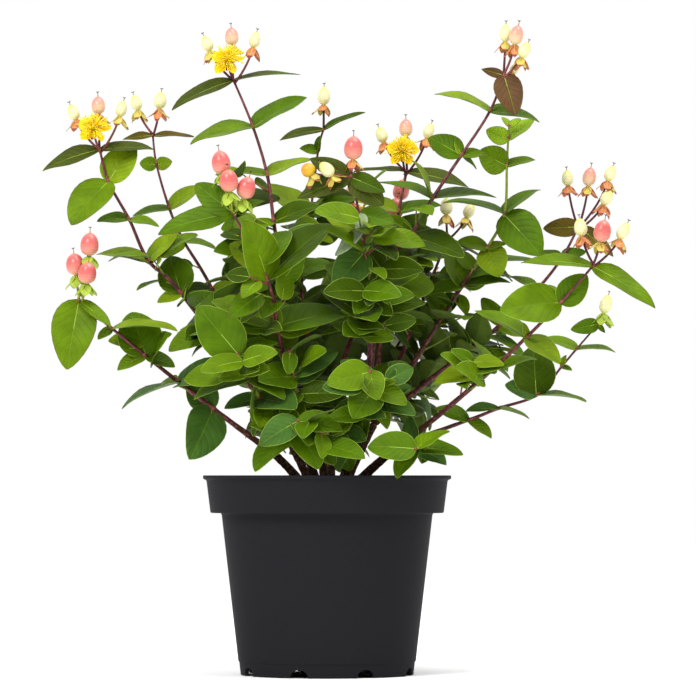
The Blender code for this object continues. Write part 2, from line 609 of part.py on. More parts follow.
def node_distances(cane, route):
    """How far from the fork the leaf pairs of a cane stand, from the tip down."""
    total = route[1][-1]
    start = max(STUB, total - cane.leafy) + CLEAR
    found = [total - FIRST_PAIR]
    for place in range(len(cane.ways)):
        found.append(route[1][KNOT_POINTS * (len(cane.ways) - place)])
    while found[-1] - cane.step > start + LAST_PAIR:
        found.append(found[-1] - cane.step)
    return found


def nodes_of(cane, route):
    """The point and the heading of each leaf pair of a cane, from the tip down."""
    return [place_on(route, distance) for distance in node_distances(cane, route)]


def add_pair(ground, mass, route, node, pairs, free=True):
    """The leaves of a node, each after the first rooted a little lower."""
    point, heading = node
    for side, (along, facing, length, width) in enumerate(pairs):
        base = point - along * ROOT_DEPTH - heading * (PAIR_STAGGER * side)
        rng = random.Random(f"{mass.name} {len(mass.leaves)}")
        leaf = try_leaf(ground, mass.name, route, Leaf(base, along, facing, length, width), rng, free)
        if leaf:
            mass.leaves.append(leaf)


def grow_seen(ground, mass, name, cane, route):
    """The leaf pairs that the viewer sees best, which come before all others."""
    rng = random.Random(name + " seen")
    for place, (seen, node) in enumerate(zip(SEEN_PAIRS.get(name, ()), nodes_of(cane, route))):
        narrow = place == 0 and cane.head != "shoot"
        pairs = [seen_leaf(*seen[i:i + 3], narrow, rng) for i in range(0, len(seen), 3)]
        add_pair(ground, mass, route, node, pairs, free=False)


def grow_ruled(ground, mass, name, cane, route):
    """The other pairs, and the crosswise ones that fill the crown to the front and the back."""
    rng = random.Random(name + " ruled")
    seen = len(SEEN_PAIRS.get(name, ()))
    for place, (point, heading) in enumerate(nodes_of(cane, route)):
        if place >= seen:
            narrow = place == 0 and cane.head != "shoot"
            pairs = ruled_pair(cane, heading, 0 if place % 2 else QUARTER, 1.0, narrow, rng)
            add_pair(ground, mass, route, (point, heading), pairs)
        if place and (place >= seen or (place % 2 and place > 1)):
            crossing = ruled_pair(cane, heading, QUARTER if place % 2 else 0, CROSS_SHARE, False, rng)
            one_side = crossing[:1] if place % 4 < 2 else crossing[1:]
            add_pair(ground, mass, route, (point - heading * CROSS_DROP, heading), one_side)


def plan_plant():
    """The stool, the boughs and the masses, each clear of those before it."""
    ground = Ground()
    stool = plan_stool()
    for twig in stool:
        ground.add("stool", *twig_skin(twig, 0.0))
    routes = {name: cane_route(cane) for name, cane in CANES.items()}
    boughs = {}
    masses = []
    for name, cane in CANES.items():
        total = routes[name][1][-1]
        start = total - cane.leafy
        if start > STUB + BOUGH_STEP / 2:
            bough = stretch(routes[name], STUB + CLEAR, start, cane_radius(name, total), BOUGH_STEP)
            boughs["bough_" + name] = bough
            ground.add("bough_" + name, *twig_skin(bough, 0.0))
        else:
            start = STUB
        stem = stretch(routes[name], start + CLEAR, total, cane_radius(name, total), ROUTE_STEP)
        masses.append(Mass("foliage_" + name, stem, [], [], [], []))
        ground.add("foliage_" + name, *twig_skin(stem, 0.0))
    named = list(zip(masses, CANES.items()))
    for mass, (name, cane) in named:
        grow_head(ground, mass, cane, routes[name])
    for mass, (name, cane) in named:
        grow_seen(ground, mass, name, cane, routes[name])
    for mass, (name, cane) in named:
        grow_ruled(ground, mass, name, cane, routes[name])
    return stool, boughs, masses


def plan_stool():
    """The woody stems from the compost to their forks, and the start of each cane past them."""
    foot = COMPOST_TOP + COMPOST_CROWN + CLEAR
    twigs = []
    for stem in STEMS.values():
        low = Vector((stem.foot[0], stem.foot[1], foot + STEM_ROOT))
        high = Vector(stem.fork)
        middle = (low + high) / 2 + Vector((0, 0, STEM_RISE))
        shares = [i / STEM_RUNS for i in range(STEM_RUNS + 1)]
        points = [(1 - t) ** 2 * low + 2 * t * (1 - t) * middle + t * t * high for t in shares]
        radii = [stem.girth + (FORK_GIRTH - stem.girth) * t for t in shares]
        twigs.append(Twig(points, radii))
    for name, cane in CANES.items():
        route = cane_route(cane)
        twigs.append(stretch(route, 0.0, STUB, cane_radius(name, route[1][-1]), STUB))
    return twigs


def material_for(node, kind):
    colour, roughness = COLOURS[kind]
    material = bpy.data.materials.new(node)
    material.use_nodes = True
    shader = material.node_tree.nodes["Principled BSDF"]
    shader.inputs["Base Color"].default_value = (*colour, 1.0)
    shader.inputs["Roughness"].default_value = roughness
    material.diffuse_color = (*colour, 1.0)
    return material


def new_collection(name):
    collection = bpy.data.collections.new(name)
    bpy.context.scene.collection.children.link(collection)
    return collection


def put(name, mesh, collection, material=None):
    obj = bpy.data.objects.new(name, mesh)
    collection.objects.link(obj)
    if material:
        mesh.materials.append(material)
    return obj


def evaluated_mesh(obj):
    bpy.context.view_layer.update()
    graph = bpy.context.evaluated_depsgraph_get()
    return bpy.data.meshes.new_from_object(obj.evaluated_get(graph))


def weld(mesh, within=0.0000005):
    work = bmesh.new()
    work.from_mesh(mesh)
    bmesh.ops.remove_doubles(work, verts=work.verts, dist=within)
    bmesh.ops.recalc_face_normals(work, faces=work.faces)
    work.to_mesh(mesh)
    work.free()
    return mesh


def section_curve(sides, collection):
    """The cross-section of a twig, as a flat ring of a radius of one metre."""
    data = bpy.data.curves.new(f"section_{sides}", "CURVE")
    data.dimensions = "2D"
    spline = data.splines.new("POLY")
    spline.points.add(sides - 1)
    for i, point in enumerate(spline.points):
        angle = 2 * math.pi * i / sides
        point.co = (math.cos(angle), math.sin(angle), 0, 1)
    spline.use_cyclic_u = True
    obj = put(data.name, data, collection)
    obj.hide_render = True
    obj.display_type = "WIRE"
    return obj


def tube(name, twig, section, collection):
    """A tapering tube along a twig, closed at both ends, as a mesh."""
    data = bpy.data.curves.new(name, "CURVE")
    data.dimensions = "3D"
    data.bevel_mode = "OBJECT"
    data.bevel_object = section
    data.use_fill_caps = True
    spline = data.splines.new("POLY")
    spline.points.add(len(twig.points) - 1)
    for target, point, radius in zip(spline.points, twig.points, twig.radii):
        target.co = (*(point * MM), 1)
        target.radius = radius * MM
    guide = put(name + "_guide", data, collection)
    mesh = weld(evaluated_mesh(guide))
    mesh.name = name
    bpy.data.objects.remove(guide)
    return put(name, mesh, collection)


def straight_twig(name, twig, collection):
    """A straight, tapering, three-sided twig."""
    start, end = twig.points
    work = bmesh.new()
    low, high = (radius * MM for radius in twig.radii)
    length = (end - start).length * MM
    bmesh.ops.create_cone(work, cap_ends=True, segments=3, radius1=low, radius2=high, depth=length)
    turn = (end - start).to_track_quat("Z", "Y").to_matrix()
    bmesh.ops.rotate(work, verts=work.verts, cent=(0, 0, 0), matrix=turn)
    bmesh.ops.translate(work, verts=work.verts, vec=(start + end) / 2 * MM)
    mesh = bpy.data.meshes.new(name)
    work.to_mesh(mesh)
    work.free()
    return put(name, mesh, collection)


def shaped_ball(name, around, rings, place, collection):
    """A sphere whose points are put where place(angle, height) says, height from -1 to 1."""
    work = bmesh.new()
    bmesh.ops.create_uvsphere(work, u_segments=around, v_segments=rings, radius=1.0)
    for vertex in work.verts:
        angle = math.atan2(vertex.co.y, vertex.co.x) % (2 * math.pi)
        height = math.asin(max(-1.0, min(1.0, vertex.co.z))) / (math.pi / 2)
        vertex.co = place(angle, height) * MM
    bmesh.ops.recalc_face_normals(work, faces=work.faces)
    mesh = bpy.data.meshes.new(name)
    work.to_mesh(mesh)
    work.free()
    return put(name, mesh, collection)


def leaf_solid(name, leaf, collection):
    """A thin folded leaf: an outline, with one point above and one below its midrib."""
    around = 6 if leaf.length > SIX_SIDED_FROM else 4
    ring = leaf_ring(leaf, around)

    def place(angle, height):
        if abs(height) > 0.9:
            return leaf_place(leaf, LEAF_HEART, 0.0, math.copysign(LEAF_THICKNESS / 2, height))
        return ring[round(angle * around / (2 * math.pi)) % around]

    return shaped_ball(name, around, 2, place, collection)


def frame_on(axis):
    side = axis.orthogonal().normalized()
    return side, axis.cross(side).normalized()


def fruit_solid(name, fruit, collection):
    """A berry with its five sepals as a flared foot, drawn out at the tip into its style."""
    side, other = frame_on(fruit.axis)

    def place(angle, height):
        radius, lift = FRUIT_PROFILE[round((height + 1) / 2 * (len(FRUIT_PROFILE) - 1))]
        out = math.cos(angle) * side + math.sin(angle) * other
        return fruit.base + fruit.axis * fruit.length * lift + fruit.width * radius * out

    obj = shaped_ball(name, FRUIT_AROUND, len(FRUIT_PROFILE) - 1, place, collection)
    work = bmesh.new()
    work.from_mesh(obj.data)
    pole = fruit.base + fruit.axis * fruit.length * FRUIT_PROFILE[0][1]
    foot = min(work.verts, key=lambda vertex: (vertex.co / MM - pole).length)
    bmesh.ops.dissolve_verts(work, verts=[foot])
    work.to_mesh(obj.data)
    work.free()
    return obj


def petals_solid(name, flower, collection):
    """The five petals of a flower, as a thin star."""
    side, other = frame_on(flower.axis)

    def place(angle, height):
        if abs(height) > 0.9:
            return flower.centre + flower.axis * math.copysign(PETAL_THICKNESS / 2, height)
        on_petal = round(angle * PETAL_SIDES / (2 * math.pi)) % 2 == 0
        radius = PETAL_RADIUS if on_petal else PETAL_NOTCH
        out = math.cos(angle) * side + math.sin(angle) * other
        return flower.centre + radius * out - flower.axis * (PETAL_DROP if on_petal else 0.0)

    return shaped_ball(name, PETAL_SIDES, 2, place, collection)


def stamens_solid(name, flower, collection):
    """The tuft of stamens over the petals, as one body with a waist."""
    side, other = frame_on(flower.axis)

    def place(angle, height):
        waist = STAMEN_WAIST if abs(height) < 0.1 else 1.0
        radius = STAMEN_RADIUS * waist * math.cos(height * math.pi / 2)
        lift = STAMEN_HEIGHT / 2 * (1 + math.sin(height * math.pi / 2))
        out = math.cos(angle) * side + math.sin(angle) * other
        return flower.centre + flower.axis * lift + radius * out

    return shaped_ball(name, STAMEN_SIDES, 4, place, collection)


def largest_body(mesh):
    """Keeps the largest connected body, and so drops loose scraps and sealed hollows."""
    work = bmesh.new()
    work.from_mesh(mesh)
    left = set(work.verts)
    bodies = []
    while left:
        body = set()
        queue = [left.pop()]
        while queue:
            vertex = queue.pop()
            body.add(vertex)
            for edge in vertex.link_edges:
                other = edge.other_vert(vertex)
                if other in left:
                    left.discard(other)
                    queue.append(other)
        bodies.append(body)
    bodies.sort(key=len)
    for body in bodies[:-1]:
        bmesh.ops.delete(work, geom=list(body), context="VERTS")
    work.to_mesh(mesh)
    work.free()


def union(name, base, pieces, collection, material, kept=1.0):
    """One solid of a base and a collection of pieces, thinned to a share of its triangles."""
    modifier = base.modifiers.new("union", "BOOLEAN")
    modifier.operation = "UNION"
    modifier.operand_type = "COLLECTION"
    modifier.collection = pieces
    if kept < 1.0:
        thin = base.modifiers.new("thin", "DECIMATE")
        thin.ratio = kept
    mesh = evaluated_mesh(base)
    largest_body(mesh)
    mesh.name = name
    mesh.materials.clear()
    for obj in list(pieces.objects):
        bpy.data.objects.remove(obj)
    bpy.data.objects.remove(base)
    return put(name, mesh, collection, material)


def turned(name, profile, steps, collection, material):
    """A turned solid: its profile runs from the axis out, up and down the outside, back to the axis."""
    mesh = bpy.data.meshes.new(name)
    points = [(radius * MM, 0, height * MM) for radius, height in profile]
    mesh.from_pydata(points, [(i, i + 1) for i in range(len(points) - 1)], [])
    obj = put(name, mesh, collection, material)
    screw = obj.modifiers.new("turn", "SCREW")
    screw.steps = steps
    screw.render_steps = steps
    screw.use_merge_vertices = True
    screw.merge_threshold = 0.00001
    screw.use_smooth_shade = True
    return obj


def notch_cutters(collection):
    """One arched cutter for each drainage notch in the pot's foot."""
    for i in range(NOTCHES):
        angle = math.radians(NOTCH_PHASE + 360 * i / NOTCHES)
        work = bmesh.new()
        bmesh.ops.create_cone(work, cap_ends=True, segments=NOTCH_SIDES, radius1=1.0, radius2=1.0, depth=2.0)
        for vertex in work.verts:
            across = vertex.co.x * NOTCH_WIDTH / 2
            high = NOTCH_SHOULDER + vertex.co.y * (NOTCH_HEIGHT - NOTCH_SHOULDER)
            if vertex.co.y < -0.01:
                high = NOTCH_LOW
            deep = vertex.co.z * NOTCH_REACH - BODY_FOOT_RADIUS
            vertex.co = Vector((across, deep, high)) * MM
        bmesh.ops.rotate(work, verts=work.verts, cent=(0, 0, 0), matrix=Matrix.Rotation(angle, 3, "Z"))
        bmesh.ops.recalc_face_normals(work, faces=work.faces)
        mesh = bpy.data.meshes.new("notch")
        work.to_mesh(mesh)
        work.free()
        cutter = put(f"notch_{i + 1}", mesh, collection)
        cutter.hide_render = True
        cutter.display_type = "WIRE"


def body_radius(z):
    """The outer radius of the pot's body at a height."""
    top = POT_HEIGHT - COLLAR_DEPTH
    return BODY_FOOT_RADIUS + (BODY_TOP_RADIUS - BODY_FOOT_RADIUS) * z / top


def make_pot(collection, cutters):
    collar_foot = POT_HEIGHT - COLLAR_DEPTH
    floor_top = FLOOR_UNDERSIDE + FLOOR_THICKNESS
    profile = [
        (0, floor_top),
        (body_radius(floor_top) - WALL, floor_top),
        (BODY_TOP_RADIUS - WALL, collar_foot + WALL),
        (COLLAR_FOOT_RADIUS - WALL, collar_foot + WALL),
        (COLLAR_TOP_RADIUS - WALL, POT_HEIGHT),
        (LIP_RADIUS, POT_HEIGHT),
        (LIP_RADIUS, POT_HEIGHT - LIP_DEPTH),
        (COLLAR_TOP_RADIUS, POT_HEIGHT - LIP_DEPTH - LIP_UNDERCUT),
        (COLLAR_FOOT_RADIUS, collar_foot),
        (BODY_TOP_RADIUS + LEDGE_ROUND, collar_foot),
        (BODY_TOP_RADIUS, collar_foot - LEDGE_FALL),
        (body_radius(FOOT_BAND), FOOT_BAND),
        (body_radius(FOOT_BAND) - FOOT_RECESS, FOOT_BAND - FOOT_STEP),
        (BODY_FOOT_RADIUS - FOOT_RECESS, 0),
        (BODY_FOOT_RADIUS - FOOT_RECESS - 2 * WALL, 0),
        (BODY_FOOT_RADIUS - FOOT_RECESS - 2 * WALL, FLOOR_UNDERSIDE),
        (PAD_RADIUS + PAD_FLARE, FLOOR_UNDERSIDE),
        (PAD_RADIUS, 0),
        (0, 0),
    ]
    pot = turned("pot", profile, POT_STEPS, collection, material_for("pot", "plastic"))
    notch_cutters(cutters)
    cut = pot.modifiers.new("notches", "BOOLEAN")
    cut.operation = "DIFFERENCE"
    cut.operand_type = "COLLECTION"
    cut.collection = cutters
    return pot


def make_compost(collection):
    collar_foot = POT_HEIGHT - COLLAR_DEPTH
    floor_top = FLOOR_UNDERSIDE + FLOOR_THICKNESS
    gap = WALL + CLEAR + COMPOST_MARGIN
    ledge = collar_foot + WALL + CLEAR
    collar_slope = (COLLAR_TOP_RADIUS - COLLAR_FOOT_RADIUS) / COLLAR_DEPTH
    edge = COLLAR_FOOT_RADIUS - gap + collar_slope * (COMPOST_TOP - collar_foot)
    profile = [
        (0, COMPOST_TOP + COMPOST_CROWN),
        (STOOL_FOOT_RADIUS + COMPOST_LEVEL, COMPOST_TOP + COMPOST_CROWN),
        (COMPOST_SHOULDER_AT * edge, COMPOST_TOP + COMPOST_SHOULDER),
        (edge, COMPOST_TOP),
        (COLLAR_FOOT_RADIUS - gap, ledge),
        (BODY_TOP_RADIUS - gap, ledge),
        (body_radius(floor_top + CLEAR) - gap, floor_top + CLEAR),
        (0, floor_top + CLEAR),
    ]
    turned("compost", profile, POT_STEPS, collection, material_for("compost", "compost"))


def make_stool(stool, collection, sections, scratch):
    foot = COMPOST_TOP + COMPOST_CROWN + CLEAR
    work = bmesh.new()
    low = STOOL_FOOT_RADIUS * MM
    high = STOOL_FOOT_TAPER * low
    depth = STOOL_FOOT_HEIGHT * MM
    bmesh.ops.create_cone(work, cap_ends=True, segments=STOOL_FOOT_SIDES, radius1=low, radius2=high,
                          depth=depth)
    bmesh.ops.translate(work, verts=work.verts, vec=(0, 0, (foot + STOOL_FOOT_HEIGHT / 2) * MM))
    mesh = bpy.data.meshes.new("stool_foot")
    work.to_mesh(mesh)
    work.free()
    base = put("stool_foot", mesh, collection)
    for i, twig in enumerate(stool):
        tube(f"stool_{i}", twig, sections[5 if i < len(STEMS) else 3], scratch)
    union("stool", base, scratch, collection, material_for("stool", "bark"), kept=STOOL_KEPT)


def make_mass(mass, collection, sections, scratch):
    base = tube(mass.name + "_stem", mass.stem, sections[3], collection)
    for i, twig in enumerate(mass.twigs):
        straight_twig(f"twig_{i}", twig, scratch)
    for i, leaf in enumerate(mass.leaves):
        leaf_solid(f"leaf_{i}", leaf, scratch)
    for i, fruit in enumerate(mass.fruits):
        fruit_solid(f"fruit_{i}", fruit, scratch)
    for i, flower in enumerate(mass.flowers):
        petals_solid(f"petals_{i}", flower, scratch)
        stamens_solid(f"stamens_{i}", flower, scratch)
    union(mass.name, base, scratch, collection, material_for(mass.name, "foliage"))


def main():
    clean_scene()
    plant, cutters, guides, scratch = (new_collection(name) for name in
                                       ("potted_hypericum", "cutters", "guides", "scratch"))
    sections = {sides: section_curve(sides, guides) for sides in (3, 5)}
    make_pot(plant, cutters)
    make_compost(plant)
    stool, boughs, masses = plan_plant()
    make_stool(stool, plant, sections, scratch)
    for name, bough in boughs.items():
        obj = tube(name, bough, sections[5], plant)
        obj.data.materials.append(material_for(name, "young_bark"))
    for mass in masses:
        make_mass(mass, plant, sections, scratch)


main()
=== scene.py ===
"""The scene of a potted hypericum shrub in flower and berry.

The pot, the compost, the woody stems, the canes with their leaves, berries and flowers stand round the
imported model. The canes and their leaves grow by the rule of the part's source, which is written again
here, and go on from there to finer shoots and smaller leaves.

X runs to the right, Y away from the viewer, Z up. Sizes are in millimetres, and MM turns them into metres.
"""

import math
import random
from collections import namedtuple

import bmesh
import bpy
import numpy as np
from mathutils import Matrix, Vector, noise
from mathutils.bvhtree import BVHTree

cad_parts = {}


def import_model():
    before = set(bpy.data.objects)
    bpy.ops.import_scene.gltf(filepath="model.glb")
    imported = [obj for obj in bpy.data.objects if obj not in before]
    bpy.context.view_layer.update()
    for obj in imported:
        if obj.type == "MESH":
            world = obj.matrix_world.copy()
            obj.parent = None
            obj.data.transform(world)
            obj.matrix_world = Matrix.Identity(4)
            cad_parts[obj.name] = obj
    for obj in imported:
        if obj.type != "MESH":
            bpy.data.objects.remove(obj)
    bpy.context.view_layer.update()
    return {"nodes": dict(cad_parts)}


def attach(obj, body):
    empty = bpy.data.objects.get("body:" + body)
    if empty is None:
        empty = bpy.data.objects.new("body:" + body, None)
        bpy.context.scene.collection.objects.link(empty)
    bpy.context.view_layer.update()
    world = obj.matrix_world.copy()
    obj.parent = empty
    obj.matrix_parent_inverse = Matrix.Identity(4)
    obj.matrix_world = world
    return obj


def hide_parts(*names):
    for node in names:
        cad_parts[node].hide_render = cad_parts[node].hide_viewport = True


MM = 0.001
CLEAR = 0.3  # the gap between pieces that touch

# The pot
POT_HEIGHT = 152.4
LIP_RADIUS = 95.0
LIP_DEPTH = 2.6
COLLAR_TOP_RADIUS = 92.4
COLLAR_FOOT_RADIUS = 89.3
COLLAR_DEPTH = 28.7
LIP_UNDERCUT = 1.2
LEDGE_ROUND = 0.8  # how far the body stands out under the collar's ledge
LEDGE_FALL = 1.5  # and how far down it does so
BODY_TOP_RADIUS = 80.7
BODY_FOOT_RADIUS = 66.7
WALL = 1.4
FLOOR_UNDERSIDE = 8.6
FLOOR_THICKNESS = 2.0
FOOT_BAND = 10.7
FOOT_RECESS = 0.7
FOOT_STEP = 0.6
PAD_RADIUS = 20.0
PAD_FLARE = 1.5
NOTCHES = 8
NOTCH_WIDTH = 14.0
NOTCH_HEIGHT = 6.5
NOTCH_SHOULDER = 1.5  # the height at which a notch's sides turn into its arch
NOTCH_LOW = -3.0  # how far below the ground a cutter reaches
LOWER_HALF = -0.01  # what lies lower on the cutter's round goes down there
NOTCH_REACH = 7.0  # how far a cutter reaches in and out from the wall
NOTCH_SIDES = 12
NOTCH_PHASE = -18.5

# The compost
COMPOST_TOP = 130.0
COMPOST_CROWN = 2.5
COMPOST_MARGIN = 0.25  # more than CLEAR, because the pot's wall leans

# The stool
STOOL_FOOT_RADIUS = 18.0
STOOL_FOOT_HEIGHT = 8.0
STEM_ROOT = 3.5  # how far up in the stool's foot its stems begin
STUB = 17.0  # how far the stool follows each cane past the fork
STEM_RISE = 5.0  # how far the middle of a stem bows up
STEM_RUNS = 3
FORK_GIRTH = 2.8  # the radius of every stem at its fork

# Wood
BOUGH_RADIUS = 2.5
TIP_RADIUS = 0.9
TAPER_POWER = 0.8
SLIM = {"right_low": 0.72, "young_shoot": 0.85, "left_back": 0.85, "middle_back": 0.85}
TWIG_RADIUS = 0.75
ROUTE_STEP = 28.0
BOUGH_STEP = 24.0
BOW_POINTS = 60
KNOT_POINTS = 12
STALK_SPACING = 1.8
STALK_TOP = 0.6  # how far below a cane's tip its first stalk leaves it
STALK_FLARE = 1.35
STALK_SUNK = 0.2  # how far into a berry its stalk reaches, as a share of its length
FRUIT_RISE = 0.6  # how much a berry turns up from its stalk's direction, and along the cane
FRUIT_AHEAD = 0.2
FLOWER_TO_VIEWER = 0.85
FLOWER_UP = 0.5
FLOWER_SEAT = 0.3

# Leaves
LEAF_ARCH = 0.17
ARCH_ANGLE = math.atan(LEAF_ARCH)
LEAF_FOLD = 0.22
LEAF_THICKNESS = 1.3
SOLID_LEAN = 0.8  # what makes the outline of a plain leaf widest below its middle, and how blunt it is
SOLID_BLUNT = 0.85
LEAF_CORNER = 1.12  # how much further out the corners of a plain leaf stand than its true edge
TWIG_CORNER = 1.2
LEAF_STATIONS = (0.12, 0.3, 0.55, 0.8, 1.0)
SKIN_ENDS = (0.03, 0.97)
STATION_APART = 0.02
MID_BLADE = 0.6
ROOT_DEPTH = 0.5
NARROW = 0.36  # the width of the leaves under a head, as a share of their length
BROAD = 0.66  # and of all others
SEEN_LEAN = 0.4  # how far a seen leaf that stands upright leans away from the eye, as a share of its length
NEAR_LEAN = -0.5  # and one that stands before its cane
LEAN_SPREAD = 0.2
FLAT_ENOUGH = 0.3  # a leaf that hangs more steeply may be rolled either way
PAIR_STAGGER = 0.35
PAIR_TURN = 0.3  # how far a ruled pair may turn from its place round the cane
PAIR_AHEAD = 0.38  # how much of the cane's heading a ruled leaf keeps, against its spread and its sag
PAIR_SPREAD = 0.92
PAIR_SAG = (-0.34, 0.02)
PAIR_LENGTH = (0.85, 1.08)
FACE_UP = 0.75  # how much its face turns up, away from the stool, along the cane and to the viewer
FACE_OUT = 0.5
FACE_AHEAD = 0.3
FACE_VIEWER = 0.45
UPRIGHT = 0.97  # a cane that runs more steeply has no side of its own
FIRST_PAIR = 1.5  # how far below a cane's tip its first pair stands
LAST_PAIR = 3.0  # and how far above its foot the last
QUARTER = 84  # each pair stands this many degrees round the cane from the last, a little under a true quarter
CROSS_DROP = 3.0  # how far below a pair its crosswise leaf stands
CROSS_SHARE = 0.8  # the length of a crosswise leaf, as a share of the others'
OWN_CLEAR_FROM = 0.38  # a leaf may touch its own mass up to this share of its length
LEAF_REACH = 72.0  # how far a leaf may stand from its own cane
RIM_GUARD = 3.0
TEST_MARGIN = 0.45
OWN_MARGIN = 0.1
TURNS = 7  # how often a leaf is turned before it is skipped
TURN_SWING = 0.13  # how far each further turn may swing, lean and roll it, and how much it shrinks
TURN_LEAN = 0.16
TURN_ROLL = 0.22
TURN_SHRINK = 0.03

# For which leaves a placed one stands in the way
OWN = "own"
OTHERS = "others"

# The picture: where its eye stands, how its pixels lie on the plane of the pot's axis, and the gaps between
# the leaves in which it shows the background, as (left, top, right, bottom)
EYE_ACROSS = 16.0
EYE_AWAY = 3200.0
EYE_HEIGHT = 150.0
PIXEL = 0.766
PICTURE_AXIS = 327.0
PICTURE_GROUND = 675.0
GAPS = ((190, 232, 215, 250), (200, 283, 230, 291), (262, 205, 285, 225), (320, 250, 345, 265),
        (305, 275, 320, 290), (405, 280, 420, 290), (420, 337, 447, 352), (364, 254, 382, 266),
        (200, 388, 247, 430), (270, 455, 300, 475), (370, 420, 400, 440), (355, 460, 372, 476),
        (150, 175, 215, 232), (60, 300, 150, 330), (150, 395, 190, 475), (440, 395, 520, 475),
        (376, 180, 412, 220), (434, 198, 482, 232), (92, 358, 130, 394), (130, 374, 152, 392),
        (112, 240, 140, 249), (122, 264, 150, 278), (149, 285, 172, 309), (166, 308, 190, 325),
        (162, 352, 187, 375), (193, 252, 223, 277), (273, 162, 300, 184), (304, 250, 320, 272),
        (458, 292, 500, 312), (468, 320, 492, 336), (413, 229, 441, 238), (413, 188, 430, 204),
        (492, 251, 511, 262), (504, 286, 522, 295), (245, 440, 258, 456), (488, 374, 502, 394))
GAP_POINTS = 8  # how many points of a leaf's outline are looked at

# The picture and its camera
EYE = (EYE_ACROSS, -EYE_AWAY, EYE_HEIGHT)
AIM = (EYE_ACROSS, 0.0, 250.0)
LENS = 216.0
SENSOR = 36.0

# The finer growth
MOST_PIECES = 12000
CROWN_MIDDLE = (-8.0, 4.0, 262.0)
CROWN_REACH = (148.0, 132.0, 122.0)
OUTWARD_SHARE = 0.004
FRONT_HALF = 40.0  # leaves nearer the viewer than this turn their upper side to the viewer
FACING_Y = (0.2, -0.62)  # how far a leaf of the rear half and of the front half does so
FACING_LOOSE = ((-0.55, 0.55), (-0.4, 0.3), (0.35, 0.9))
AXIL_CHANCE = (0.1, 0.75)  # outside the full part of the crown, and in it
AXIL_DEPTH = 0.1
AXIL_AHEAD = 0.62
AXIL_SPREAD = 0.8
AXIL_BASE = 0.4
AXIL_BROAD = 0.5
REACH_FRONT = -132.0
REACH_BACK = 185.5
AXIL_LENGTH = (9.0, 22.0)
SPRIG_RADIUS = 0.62
SPRIG_TAPER = (1.25, 1.0, 0.8)
SPRIG_BOW = 0.04
SPRIG_FREE = 2.6  # how far from its cane a side shoot has to be clear of everything, and by how much
SPRIG_MARGIN = 0.2
SPRIG_AHEAD = 0.6  # how much it runs along the cane, away from it, away from the stool and up
SPRIG_ASIDE = 0.85
SPRIG_OUTWARD = 0.3
SPRIG_UP = 0.15
SPRIG_TILT = 0.3  # how its two leaves stand: tilted, ahead, spread, sagging, one rooted after the other
SPRIG_LEAF_AHEAD = 0.6
SPRIG_SPREAD = 0.85
SPRIG_SAG = (-0.25, 0.1)
SPRIG_STAGGER = 0.3
SPRIG_LENGTH = (0.85, 1.12)
SPRIG_BROAD = 0.56
SPRIG_THIRD = 17.0  # a longer shoot has a third leaf: where, how far ahead and down, how loose, how long
THIRD_AT = 0.55
THIRD_AHEAD = 0.5
THIRD_SAG = 0.35
THIRD_LOOSE = 0.8
THIRD_LENGTH = 0.85
SPRIG_REACH = (10.0, 34.0)
INNER_ROUNDS = ((18.0, 42.0, 0.35), (14.0, 36.0, 0.6), (12.0, 28.0, 0.7))  # spacing, length, share of shoots
ROUND_SHIFT = 3.1  # how much further up the cane each round starts
INNER_FROM = 0.6  # where it starts, as a share of the stub, and how far below the tip it ends
INNER_END = 6.0
INNER_STEP = (0.8, 1.25)
INNER_DEPTH = 0.04  # how deep in the crown and how far above the compost its leaves begin
INNER_LOWEST = 22.0
INNER_SHOOT = (0.75, 1.1)
INNER_AHEAD = 0.4
INNER_SPREAD = 0.9
INNER_SAG = (-0.3, 0.1)
INNER_LENGTH = (0.85, 1.15)

# The blades
SHEET = "sheet"
FINE_FROM = 15.0
FINE_ROWS = 12
PLAIN_ROWS = 8
FINE_COLUMNS = (0.7, 0.38)
EVEN_ROWS = 0.3  # how even the rows stand, against closer at both ends
BLADE_ENDS = (0.003, 0.997)
WIDEN = 1.1
OUTLINE_LEAN = 0.76
OUTLINE_BLUNT = (0.78, 0.6)  # of a narrow leaf, and of a broad one
ROUND_FROM = 0.45
LEAST_HALF = 0.12
RIM_WIDTH = 0.3
RIM_MOST = 0.3  # the rim and the midrib keep to these shares of half the blade
RIB_MOST = 0.2
RIB_WIDTH = 0.34
RIB_TAPER = 0.72
RIB_GROWTH = 90.0
RIB_DEPTH = 0.3
RIB_DEEPEST = 0.1
LEAF_TWIST = 0.12
LEAF_WAVE = 0.02
WAVES = 1.4
WAVE_SPREAD = (0.3, 1.0)
ARCH_SPREAD = (0.75, 1.2)
FOLD_STEEP = 1.32
FOLD_FLATTER = 0.58
DROOP = 0.05
DROOP_FROM = 0.75
BLADE_THICKNESS = 0.35
TIP_FROM = 0.72
VEINS = 3.5
VEIN_SLANT = 0.32
VEIN_DEPTH = 0.36
VEIN_WANDER = 0.12
VEIN_GROOVE = 0.35
GLOW_SHARE = 0.2
SMALL_LEAF = 22.0
BLUISH_BELOW = 225.0
OUTER_BELOW = 0.12  # how deep in the crown a leaf still counts as an outer one, which takes lighter tones for painted light, where deeper ones take darker tones for painted shade
DARK_RIM_ABOVE = 270.0
DARK_RIMS = 0.75
RIB_TO = (0.1, 0.5)  # how far up the midrib is pale
RIB_TO_SMALL = 0.3
LIT_BELOW = "front_middle"  # whose leaves take a lower side painted paler, for painted light, where they turn it to the viewer
Tones = namedtuple("Tones", "rim blade rib crease under tip rib_to")

